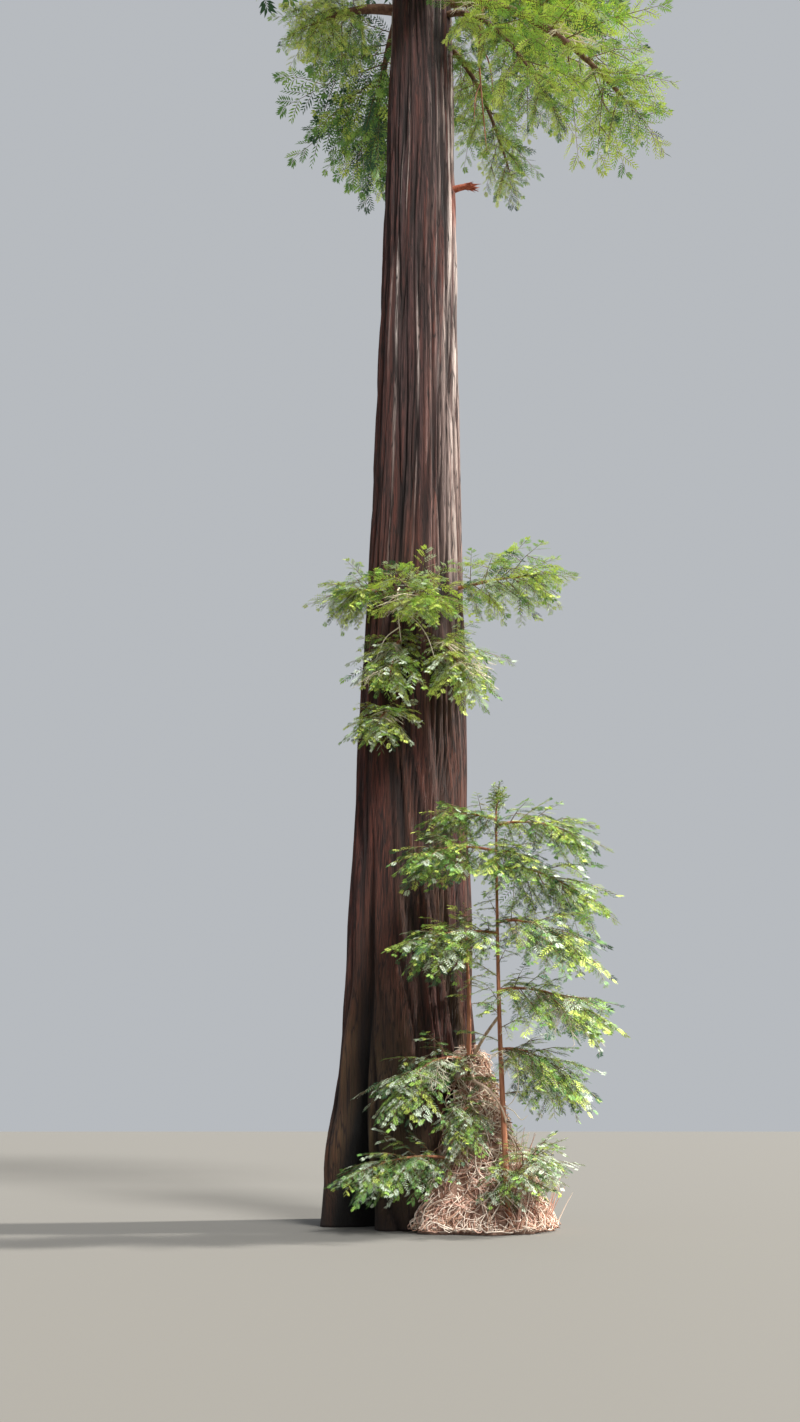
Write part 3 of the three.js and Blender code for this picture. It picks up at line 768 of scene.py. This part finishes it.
# Noise fields: middle, size, how many round the trunk, stretch a metre and seed
FIELDS = {
    "drift": (0, 11, 6, 0.14, 40.0),
    "fine_drift": (0, 1.6, 20, 0.5, 45.0),
    "strength": (0.92, 0.8, 14, 0.3, 80.0),
    "folds": (0, 1, 13, 0.22, 90.0),
    "tone": (0.3, 0.7, 36, 0.25, 100.0),
    "broad_tone": (0, 0.4, 5, 0.1, 110.0),
    "olive": (0.3, 1.1, 13, 0.2, 120.0),
    "pale": (0.8, 5, 48, 0.12, 130.0),
    "streaks": (-2.1, 6, 64, 0.06, 150.0),
    "burl_lumps": (0, 1, 24, 1.2, 60.0),
    "burl_grain": (0, 0.6, 60, 3.0, 70.0),
}


def line_field(heading, height, count, stretch, seed):
    """Noise on a tall grid that closes round the trunk. Its zero lines run up it and interlace."""
    places = count / (2 * np.pi) * heading_vector(heading) + seed
    places[..., 2] = stretch * height
    values = [noise.noise(place) for place in places.reshape(-1, 3).tolist()]
    return np.array(values).reshape(heading.shape)


def field(name, heading, height):
    middle, size, *shape = FIELDS[name]
    return middle + size * line_field(heading, height, *shape)


def grid(levels, sides):
    """Every level at every heading round a trunk or burl."""
    return np.meshgrid(levels, np.arange(sides) * 360 / sides, indexing="ij")


def make_trunk():
    height, heading = grid(np.linspace(0, 1, TRUNK_RINGS + 1) ** TRUNK_SPACING * TRUNK_TOP, TRUNK_SIDES)
    lean = LEANING["per_metre"] * np.maximum(0, LEANING["below"] - height)
    lean = lean * bell(turn(LEANING["heading"], heading) / LEANING["spread"])
    grown = heading + (field("drift", heading, height) + field("fine_drift", heading, height)) - lean
    strength = np.clip(field("strength", grown, height), *FURROW_STRENGTH)
    # Painted shade in the furrows and in the folds of the foot
    furrow_shade = np.zeros_like(height)
    relief = np.zeros_like(height)
    for count, stretch, depth, width, shade, seed in FURROWS:
        cut = strength * bell(line_field(grown, height, count, stretch, seed) / width)
        furrow_shade = np.maximum(furrow_shade, cut * shade)
        relief += depth * cut
    fold = bell(field("folds", grown, height) / FOLDS["width"]) * np.exp(-height / FOLDS["height"])
    furrow_shade = np.clip(np.maximum(furrow_shade, FOLDS["shade"] * fold), 0, 1)
    relief += FOLDS["depth"] * fold
    # A ramp up the trunk: the grey it adds to the tone is a painted sky reflection, and it lets in the pale
    # strips and streaks
    higher_up = np.clip((height - PAINTED_SKY_AND_SUN["from"]) / PAINTED_SKY_AND_SUN["over"], 0, 1)
    tone = field("tone", grown, height) + field("broad_tone", heading, height)
    tone += PAINTED_SKY_AND_SUN["grey"] * higher_up
    olive = np.exp(-height / OLIVE_HEIGHT) * field("olive", grown, height)
    # Painted sunlight: pale strips on the side towards the sun, broken up by noise and kept off the furrows
    pale = bell(turn(PAINTED_SKY_AND_SUN["heading"], heading) / PAINTED_SKY_AND_SUN["spread"]) * (1 - furrow_shade)
    pale = pale * np.clip(field("pale", grown, height), 0, 1)
    streaks = np.clip(field("streaks", grown, height), 0, PALEST_STREAK) * (1 - furrow_shade)
    pale = np.maximum(pale, streaks) * higher_up
    torn = bell(turn(BROKEN_LIMB["heading"], heading) / TORN["spread"])
    torn = torn * bell((height - BROKEN_LIMB["height"] + TORN["below"]) / TORN["tall"])
    # Painted shade in the cleft, the darker the deeper it goes
    cleft_shade = CLEFT_SHADING["sharpness"] * cleft_depth(height, heading) - CLEFT_SHADING["starts"]
    thickness = np.clip(shaft_radius(height), THINNEST_BARK_AT, THICKEST_BARK_AT) / THICKEST_BARK_AT
    radius = trunk_radius(height, heading) - thickness * relief
    points = ring_points(trunk_centre(height), radius, heading)
    skin = closed_skin(points, trunk_centre([0, TRUNK_TOP]))
    piece = make_piece("trunk_bark", skin, [BARK], ["trunk"])
    marks = {"furrow_shade": furrow_shade, "cleft_shade": cleft_shade, "tone": tone, "olive": olive, "pale": pale, "torn": torn}
    for name, values in marks.items():
        attribute = piece.data.attributes.new(name, "FLOAT", "POINT")
        values = np.append(np.clip(values, 0, 1).ravel(), [0, 0])
        attribute.data.foreach_set("value", values.astype(np.float32))


make_trunk()


# Burl: a lumpy heap under a tangle of dead twigs, and the young sprouts that stand at its right foot
BURL_SIDES = 120
BURL_RINGS = 44
BURL_RELIEF = 0.05
STALK_STEPS = 5
STALK_THINS = 0.6
STALK_SUNK = 0.02
STALKS = {"count": 3400, "lowest": 0.012, "crowding": 1.25, "length": (0.16, 0.55), "aslant": 0.8}
STALKS.update({"wander": 1.3, "proud": 0.2, "radius": (0.007, 0.016), "colours": (0.22, 0.44, 0.08, 0.26)})
SPROUTS = {"count": 90, "highest": 0.3, "headings": (296, 352), "turned": 30, "length": (0.35, 0.95)}
SPROUTS.update({"spread": (0.05, 0.55), "radius": (0.006, 0.011), "colours": (0.1, 0.2, 0, 0.7)})


def burl_surface(share, heading, proud=0.0):
    return ring_points(burl_centre(share), burl_radius(share, heading) + proud, heading)


def make_burl():
    share, heading = grid(np.linspace(0, 1, BURL_RINGS + 1), BURL_SIDES)
    rough = field("burl_lumps", heading, 3 * share) + field("burl_grain", heading, 3 * share)
    points = burl_surface(share, heading, BURL_RELIEF * rough - BURL_RELIEF)
    skin = closed_skin(points, burl_centre([0, 1]))
    make_piece("burl_heap", skin, [BURL_BARK], ["burl"])


def make_stalk_piece(name, rng, points, radii, sides, chances):
    part = tubes(points, radii, sides)
    dealt = rng.choice(len(STALK_COLOURS), len(points), p=chances)
    make_piece(name, part, STALK_COLOURS, worn=np.repeat(dealt, len(part[1]) // len(points)))


def make_stalks():
    """Short dead twigs that wander down over the burl and arch a little off it."""
    rng = np.random.default_rng(11)
    count = STALKS["count"]
    share = rng.random(count) ** STALKS["crowding"]
    heading = 360 * rng.random(count)
    steps = np.linspace(0, 1, STALK_STEPS)
    stride = lerp(*STALKS["length"], rng.random(count) ** 1.5)[:, None] / (STALK_STEPS - 1)
    aslant = rng.normal(0, STALKS["aslant"], (count, 1))
    angle = aslant + rng.normal(0, STALKS["wander"], (count, 1)) * steps
    down = np.cumsum(stride * np.cos(angle), axis=1)
    sideways = np.cumsum(stride * np.sin(angle), axis=1)
    # One that would pass the ground turns up again
    below = np.abs(share[:, None] - down / BURL["height"] - STALKS["lowest"])
    shares = np.clip(STALKS["lowest"] + below, 0, 1)
    headings = heading[:, None] + np.degrees(sideways / burl_radius(share, heading)[:, None])
    proud = STALK_SUNK + STALKS["proud"] * rng.random((count, 1)) ** 2
    points = burl_surface(shares, headings, proud * np.sin(np.pi * (0.1 + 0.85 * steps)) - STALK_SUNK)
    radii = lerp(*STALKS["radius"], rng.random((count, 1))) * (1 - STALK_THINS * steps)
    clear = clear_of_trunk(points[:, -1]) & clear_of_trunk(points[:, 0])
    make_stalk_piece("burl_stalks", rng, points[clear], radii[clear], 3, STALKS["colours"])


def make_sprouts():
    """Thin upright shoots in a fan, with reddish and pale stems."""
    rng = np.random.default_rng(23)
    count = SPROUTS["count"]
    steps = np.linspace(0, 1, STALK_STEPS)
    share = SPROUTS["highest"] * rng.random(count)
    heading = lerp(*SPROUTS["headings"], rng.random(count))
    out = heading_vector(heading + SPROUTS["turned"] * (rng.random(count) - 0.5))
    length = lerp(*SPROUTS["length"], rng.random(count))[:, None, None]
    spread = lerp(*SPROUTS["spread"], rng.random(count))[:, None, None]
    rise = (steps - 0.15 * steps**2)[:, None]
    roots = burl_surface(share, heading, -STALK_SUNK)[:, None]
    points = roots + length * (UP * rise + out[:, None] * spread * steps[:, None])
    radii = lerp(*SPROUTS["radius"], rng.random((count, 1))) * (1 - STALK_THINS * steps)
    make_stalk_piece("burl_sprouts", rng, points, radii, 4, SPROUTS["colours"])


make_burl()
make_stalks()
make_sprouts()


# Stems and thin limbs
def stem(path, foot, tip, steps, sides, end=1.0):
    """One tapering limb with slight swellings and a tip narrowed almost shut, as a part for a joined piece.
    """
    share = np.linspace(0, 1, steps)
    points = path(end * share)
    wobble = np.array([noise.noise((4 * s + 10 * foot, 7.3, 60 * foot)) for s in share])
    radii = lerp(foot, tip, share) * (1 + 0.12 * wobble)
    radii[-1] *= 0.1
    return tubes(points[None], radii[None], sides)


def make_stems():
    living = joined([stem(leader_path, *LEADER[4:6], 70, 14), stem(second_path, *SECOND[4:6], 30, 12)])
    make_piece("stems_bark", living, [YOUNG_BARK], ["leader_stem", "second_stem"])
    (thin, slanting), (thick, curved) = SLANTING_LIMB, CURVED_LIMB
    slanting = stem(through(slanting), thin, 0.8 * thin, 20, 10, end=0.92)
    dead = joined([slanting, stem(through(curved), thick, TAPER * thick, 30, 10)])
    make_piece("dead_limbs_bark", dead, [PALE_BARK], ["slanting_limb", "curved_limb"])


SPLINTERS = 12


def make_broken_limb():
    heading = BROKEN_LIMB["heading"]
    path = limb_path(in_trunk(BROKEN_LIMB["height"], heading), heading, **BROKEN_LIMB_LINE)
    parts = [stem(path, BROKEN_LIMB["radius"], BROKEN_LIMB["tip"], 24, 14)]
    rng = np.random.default_rng(5)
    tip = path(0.9)
    along = tangent(path, 0.98)
    splinters = along + 1.1 * (rng.random((SPLINTERS, 3)) - 0.5)
    reach = lerp(0.14, 0.4, rng.random(SPLINTERS))[:, None, None]
    steps = np.linspace(0, 1, 4)
    starts = tip + 0.08 * (rng.random((SPLINTERS, 3)) - 0.5) - along * 0.2 * rng.random((SPLINTERS, 1))
    points = starts[:, None] + unit(splinters)[:, None] * reach * steps[:, None]
    radii = 0.038 * (1 - 0.95 * steps) * np.ones((SPLINTERS, 1))
    parts.append(tubes(points, radii, 5))
    make_piece("broken_limb_bark", joined(parts), [RED_WOOD], ["broken_limb"])


make_stems()
make_broken_limb()


# Foliage
def shoot_points(shoots, place, arch=0.16, hang=0.07):
    """Points at places on shoots or twiglets, which arch a little and hang at the tip."""
    roots, directions, lengths = shoots
    share = place[..., None]
    rise = arch * share * (1 - share) - hang * share**2
    return roots[:, None] + lengths[:, None, None] * (directions[:, None] * share + UP * rise)


def swung(along, across, angle):
    """Directions that swing from along towards across, by some angles for each."""
    return along[:, None] * np.cos(angle)[..., None] + across[:, None] * np.sin(angle)[..., None]


def branch_off(rng, shoots, place, angle, lift, spread):
    """Start, direction and length of what branches off shoots at places on them. lift is its turn upwards
    and how much that varies, spread the least and most of its length as a share of the shoot's."""
    out = swung(shoots[1], unit(np.cross(shoots[1], UP)), angle)
    out += UP * (lift[0] + lift[1] * (rng.random(place.shape) - 0.5))[..., None]
    sizes = lerp(*spread, rng.random(place.shape)) * shoots[2][:, None]
    return shoot_points(shoots, place).reshape(-1, 3), unit(out).reshape(-1, 3), sizes


def two_ranks(numbers):
    return np.where(numbers % 2, 1.0, -1.0)


def grow_twiglets(rng, shoots, count):
    """Twiglets in two ranks along every shoot, each with its own turn out of the spray's plane."""
    places = np.linspace(*TWIGLET_PLACES, count)
    place = places + 0.02 * (rng.random((len(shoots[0]), count)) - 0.5)
    swing = TWIGLET_SWING * (rng.random(place.shape) - 0.5)
    angle = np.radians(lerp(*TWIGLET_ANGLES, place) + swing) * two_ranks(np.arange(count))
    starts, out, sizes = branch_off(rng, shoots, place, angle, TWIGLET_LIFT, TWIGLET_LENGTHS)
    outline = np.sin(np.pi * np.clip(0.16 + 0.8 * place, 0, 0.97)) ** 0.7
    return (starts, out, (outline * sizes).ravel()), np.repeat(np.arange(len(shoots[0])), count)


def grow_needles(rng, twiglets, needle_lengths, count):
    """Needles in two ranks along every twiglet, which hangs and is rolled about its own line."""
    directions = twiglets[1]
    place = (np.arange(count) + NEEDLES_START) / count
    share = np.broadcast_to(place, (len(directions), count))
    points = shoot_points(twiglets, share, 0, TWIGLET_HANG)
    side = unit(np.cross(directions, UP))
    lift = np.cross(side, directions)
    roll = np.radians(TWIGLET_ROLL * (rng.random(len(directions)) - 0.5))[:, None]
    side = side * np.cos(roll) + lift * np.sin(roll)
    swing = NEEDLE_SWING * (rng.random(share.shape) - 0.5)
    angle = np.radians(lerp(*NEEDLE_ANGLES, share) + swing) * two_ranks(np.arange(count))
    out, flat = swung(directions, side, angle), swung(side, -directions, angle)
    size = needle_lengths[:, None] * (0.7 + 0.4 * np.sin(np.pi * share))
    size = size * lerp(0.85, 1.15, rng.random(share.shape))
    return points.reshape(-1, 3), out.reshape(-1, 3), flat.reshape(-1, 3), size.ravel()


def deal_colours(rng, owner, tips, group):
    """A colour for each twiglet: most wear their spray's colour, the others one of their own."""
    middle = trunk_centre(np.clip(tips[:, 2], 0, TRUNK_TOP))
    # Sprays on the sun's side are dealt more of the lighter colours: painted sunlight
    sunny = 0.5 + 0.5 * (unit(tips - middle) * heading_vector(SUN_HEADING)).sum(-1)
    shaded_mix, sunny_mix = np.array(COLOUR_MIX[group])
    mixes = lerp(shaded_mix, sunny_mix, sunny[:, None])
    steps = np.cumsum(mixes / mixes.sum(-1, keepdims=True), axis=-1)
    by_spray = (rng.random((len(tips), 1)) > steps).sum(-1)
    own = (rng.random((len(owner), 1)) > steps[owner]).sum(-1)
    dealt = np.where(rng.random(len(owner)) < SPRAY_SHARE, by_spray[owner], own)
    return np.minimum(dealt, steps.shape[1] - 1)


def grow_side_shoots(rng, shoots, count):
    """Side shoots on every shoot, on alternate sides, which hang a little more than it does."""
    numbers = np.arange(count)
    owners = np.arange(len(shoots[0]))[:, None]
    place = lerp(*SIDE_SHOOT_PLACES, (numbers + rng.random((len(owners), count))) / count)
    angle = np.radians(lerp(*SIDE_SHOOT_ANGLES, rng.random(place.shape))) * two_ranks(numbers + owners)
    starts, out, sizes = branch_off(rng, shoots, place, angle, SIDE_SHOOT_LIFT, SIDE_SHOOT_LENGTHS)
    return starts, out, ((1.1 - 0.5 * place) * sizes).ravel()


def shoot_wood(shoots, stout=1.0):
    steps = np.linspace(0, 1, 3)
    radii = stout * (0.005 + 0.006 * shoots[2])[:, None] * (1 - 0.8 * steps)
    return tubes(shoot_points(shoots, steps), radii, 3)


def grow_spray(rng, shoots, needle_lengths, width, counts, group):
    """Twiglets and needles on shoots: the twiglets as thin kites, the needles, and their colours."""
    roots, directions, lengths = shoots
    twiglets, owner = grow_twiglets(rng, shoots, counts[0])
    starts, out, sizes = twiglets
    flat = unit(np.cross(out, UP))
    wood = kites(starts, unit(out - 0.12 * UP), flat, sizes, 0.006 + 0.004 * lengths[owner])
    points, along, flat, size = grow_needles(rng, twiglets, needle_lengths[owner], counts[1])
    tips = roots + directions * lengths[:, None]
    colours = np.repeat(deal_colours(rng, owner, tips, group), counts[1])
    ends = points + along * size[:, None]
    kept = clear_of_wood(points) & clear_of_wood(ends) & in_reach(ends)
    vertices, faces = kites(points[kept], along[kept], flat[kept], size[kept], width * size[kept])
    return wood, (vertices, faces, np.repeat(colours[kept], 2))


def grow_shoots(rng, shoots, group, detail):
    """The wood, the twiglets and the needles of some shoots, as parts for joined pieces."""
    sides = grow_side_shoots(rng, shoots, detail["side_shoots"])
    needle_lengths = detail["needle"] * shoots[2]
    on_sides = np.repeat(needle_lengths, detail["side_shoots"])
    main = grow_spray(rng, shoots, needle_lengths, detail["width"], detail["shoot"], group)
    side = grow_spray(rng, sides, on_sides, detail["width"], detail["side_shoot"], group)
    return [shoot_wood(shoots), shoot_wood(sides)], [main[0], side[0]], [main[1], side[1]]


# Dead wood: how many bare shoots hang in a mass
BARE_SHOOTS = {"tuft_front_upper": 9, "tuft_front_lower": 12, "tuft_right_lower": 12, "tuft_left": 6}
BARE_SHOOTS.update({"tuft_left_lower": 12, "burl_upper_left": 5, "leader_middle_right": 7})
BARE_SHOOTS.update({"leader_low_right": 9, "leader_low_back": 6})
BARE_SHOOTS.update({"low_right_foliage": 8, "low_hanging_foliage": 6})
BARE_SIDE_SHOOTS = 3
BARE_TWIGLETS = 6
BARE_STOUT = 1.7
BARE_STRETCH = 1.3
BARE_RADIUS = 0.008
BARE_LENGTHS = (0.4, 0.8)
# Single bare twigs, by radius and points on their way: brown ones at the low right bough, then pale ones
HANGING_TWIGS = [
    (0.042, [(2.33, -0.24, 31.1), (2.16, -0.35, 29.2), (2.17, -0.4, 27.7), (2.26, -0.4, 25.4)]),
    (0.028, [(2.17, -0.36, 29.4), (2.4, -0.45, 28.6), (2.47, -0.5, 27.6), (2.44, -0.5, 26.9)]),
    (0.024, [(2.17, -0.4, 27.9), (2.0, -0.5, 27.2), (1.95, -0.5, 26.3)]),
]
BARE_TWIGS = [
    (0.024, [(-0.02, -1.2, 12.3), (-0.05, -1.55, 12.0), (-0.03, -1.62, 11.4), (0.03, -1.65, 10.8)]),
    (0.014, [(-0.03, -1.6, 11.6), (0.3, -1.75, 11.3), (0.55, -1.8, 10.9), (0.7, -1.8, 10.4)]),
    (0.014, [(0.0, -1.63, 11.2), (-0.3, -1.7, 10.9), (-0.5, -1.7, 10.4)]),
    (
        0.016,
        [(1.75, -2.1, 2.85), (1.88, -2.15, 2.79), (2.0, -2.2, 2.6)]
        + [(2.02, -2.2, 2.29), (1.92, -2.15, 2.06), (1.78, -2.1, 1.95)],
    ),
    (0.014, [(1.76, -2.1, 1.98), (1.92, -2.2, 1.9), (2.04, -2.25, 1.76), (2.17, -2.25, 1.84)]),
]


def grow_bare_shoots(mass, count):
    """Dead shoots that hang from the stem of a mass, with side shoots and twiglets but no needles."""
    rng = np.random.default_rng(500 + mass["seed"])
    roots = mass["path"](lerp(mass["first"], 0.9, rng.random(count)))
    out = heading_vector(360 * rng.random(count))
    directions = unit(out - UP * lerp(0.2, 1.2, rng.random((count, 1))))
    shoots = fitted(mass, roots, directions, mass["length"] * lerp(*BARE_LENGTHS, rng.random(count)))
    ends = shoots[0] + shoots[1] * shoots[2][:, None]
    shoots = [values[clear_of_wood(ends)] for values in shoots]
    sides = grow_side_shoots(rng, shoots, BARE_SIDE_SHOOTS)
    parts = [shoot_wood(shoots, BARE_STOUT), shoot_wood(sides, BARE_STOUT)]
    steps = np.linspace(0, 1, 3)
    for each in (shoots, sides):
        (starts, out, sizes), _ = grow_twiglets(rng, each, BARE_TWIGLETS)
        points = shoot_points((starts, out, BARE_STRETCH * sizes), steps, 0, 0)
        parts.append(tubes(points, BARE_RADIUS * (1.1 - steps) * np.ones((len(sizes), 1)), 3))
    return parts


def twig(radius, points):
    return stem(through(points), radius, TAPER * radius, 12, 5)


def make_bare_twigs():
    parts = [twig(*row) for row in BARE_TWIGS]
    for mass in masses:
        if mass["name"] in BARE_SHOOTS:
            parts += grow_bare_shoots(mass, BARE_SHOOTS[mass["name"]])
    make_piece("bare_twigs", joined(parts), [DEAD_WOOD])


# Small sprays that sprout from the trunk itself inside the crown, up to its very top
TRUNK_SPRAYS = {"count": 104, "heights": (34, 70.6), "crowding": 0.5, "lengths": (0.72, 0.27)}


def grow_trunk_sprays():
    rng = np.random.default_rng(41)
    count = TRUNK_SPRAYS["count"]
    place = (np.arange(count) + rng.random(count)) / count
    heights = lerp(*TRUNK_SPRAYS["heights"], place ** TRUNK_SPRAYS["crowding"])
    headings = GOLDEN_ANGLE * np.arange(count) + 40 * rng.random(count)
    out = heading_vector(headings)
    roots = trunk_centre(heights) + out * 0.9 * trunk_radius(heights, headings % 360)[:, None]
    directions = unit(out + UP * lerp(-0.3, 0.5, rng.random((count, 1))))
    shares = np.clip((heights - CROWN_FOOT) / (CROWN_TOP - CROWN_FOOT), 0, 0.97)
    start, part = TRUNK_SPRAYS["lengths"]
    lengths = (start + part * crown_radius(shares)) * lerp(0.6, 1.1, rng.random(count))
    return grow_shoots(rng, (roots, directions, lengths), "crown", SMALL)


# Short leafy shoots on the upright young stems: path, how many, between which shares of the stem, and length
STEM_SHOOTS = [(second_path, 12, (0.45, 1), 0.6), (leader_path, 22, (0.3, 0.93), 0.85)]


def grow_stem_shoots(path, count, ends, length):
    rng = np.random.default_rng(43)
    place = np.arange(count) / (count - 1)
    roots = path(lerp(*ends, place))
    out = heading_vector(GOLDEN_ANGLE * np.arange(count))
    directions = unit(out * (1.1 - place)[:, None] + UP * lerp(0.1, 1, place)[:, None] * ends[1])
    return grow_shoots(rng, (roots, directions, length * (1 - 0.4 * place)), "leader", NEAR)


# Joined pieces of foliage: name, group, detail, and which of the group's masses they hold
PIECES = [
    ("tufts", "tufts", NEAR, slice(None)),
    ("leader_upper", "leader", NEAR, slice(0, 5)),
    ("leader_lower", "leader", NEAR, slice(5, None)),
    ("burl_shoots", "burl", FINE, slice(None)),
    ("low_boughs", "low", FINE, slice(0, 2)),
    ("low_hanging", "low", FINE, slice(2, None)),
    ("crown_skirt", "crown", SKIRT, slice(0, 3)),
    ("crown_middle", "crown", HIGH, slice(3, 13)),
    ("crown_upper", "crown", HIGH, slice(13, None)),
]


def make_foliage():
    for name, group, detail, part in PIECES:
        held = [mass for mass in masses if mass["group"] == group][part]
        grown = []
        for mass in held:
            rng = np.random.default_rng(mass["seed"])
            grown.append(grow_shoots(rng, shoots_of(mass), group, detail))
        if name == "crown_upper":
            grown.append(grow_trunk_sprays())
        if name == "leader_lower":
            grown += [grow_stem_shoots(*row) for row in STEM_SHOOTS]
        wood, twiglets, needles = (sum(parts, []) for parts in zip(*grown))
        names = [mass["name"] for mass in held]
        blades = joined([each[:2] for each in needles])
        worn = np.concatenate([each[2] for each in needles])
        make_piece(f"{name}_needles", blades, NEEDLES, names, worn, smooth=False)
        make_piece(f"{name}_shoots", joined(wood), [TWIG])
        make_piece(f"{name}_twiglets", joined(twiglets), [TWIG])


def make_limbs():
    """The limb of every mass, whole from the trunk or stem to its tip, and the brown twigs."""
    thick, thin, boughs = [], [], []
    for mass in masses:
        near = mass["group"] in ("tufts", "leader", "burl")
        rings = (14, 8) if near else (22, 12)
        (thin if near else thick).append(stem(mass["path"], mass["radius"], TAPER * mass["radius"], *rings))
        if mass["first"] == BOUGHED["first"]:
            boughs.append(mass["name"].replace("foliage", "bough"))
    thin += [twig(*row) for row in HANGING_TWIGS]
    make_piece("boughs_bark", joined(thick), [BOUGH_BARK], boughs)
    make_piece("small_limbs_bark", joined(thin), [YOUNG_BARK])


make_foliage()
make_bare_twigs()
make_limbs()


# Floor, light and camera
EYE_HEIGHT = 1.6
DISTANCE = 22
PITCH = 20.85
FOCAL = 1100
FRAME_HEIGHT = 1422
FLOOR_RADIUS = 700
FLOOR_SIDES = 96


def make_stage():
    mesh = bpy.data.meshes.new("floor")
    rim = FLOOR_RADIUS * heading_vector(360 / FLOOR_SIDES * np.arange(FLOOR_SIDES))
    mesh.from_pydata(rim.tolist(), [], [range(FLOOR_SIDES)])
    mesh.materials.append(plain("floor", (106, 104, 100), 0.9))
    floor = add_object("floor", mesh)
    floor.location.z = -0.002


def make_sun(name, energy, soft, azimuth, elevation, colour):
    """A soft sun that shines from a heading and a height above the floor."""
    light = bpy.data.lights.new(name, "SUN")
    light.energy, light.angle, light.color = energy, math.radians(soft), colour
    turned = (math.radians(90 - elevation), 0, math.radians(azimuth + 90))
    add_object(name, light).rotation_euler = turned


def make_light():
    world = bpy.data.worlds.new("studio")
    bpy.context.scene.world = world
    world.use_nodes = True
    background = world.node_tree.nodes["Background"]
    background.inputs["Color"].default_value = (0.86, 0.9, 0.95, 1)
    background.inputs["Strength"].default_value = 0.55
    make_sun("key", 7.2, 4, 8, 38, (1, 0.96, 0.88))
    make_sun("fill", 4.8, 16, 300, 46, (1, 0.98, 0.93))


def make_camera():
    data = bpy.data.cameras.new("camera")
    data.sensor_width = 36
    data.lens = 36 * FOCAL / FRAME_HEIGHT
    data.clip_end = 1500
    camera = add_object("camera", data)
    camera.location = (0, -DISTANCE * SCALE, EYE_HEIGHT * SCALE)
    camera.rotation_euler = (math.radians(90 + PITCH), 0, 0)
    bpy.context.scene.camera = camera


make_stage()
make_light()
make_camera()
bpy.context.scene.view_settings.view_transform = "Standard"
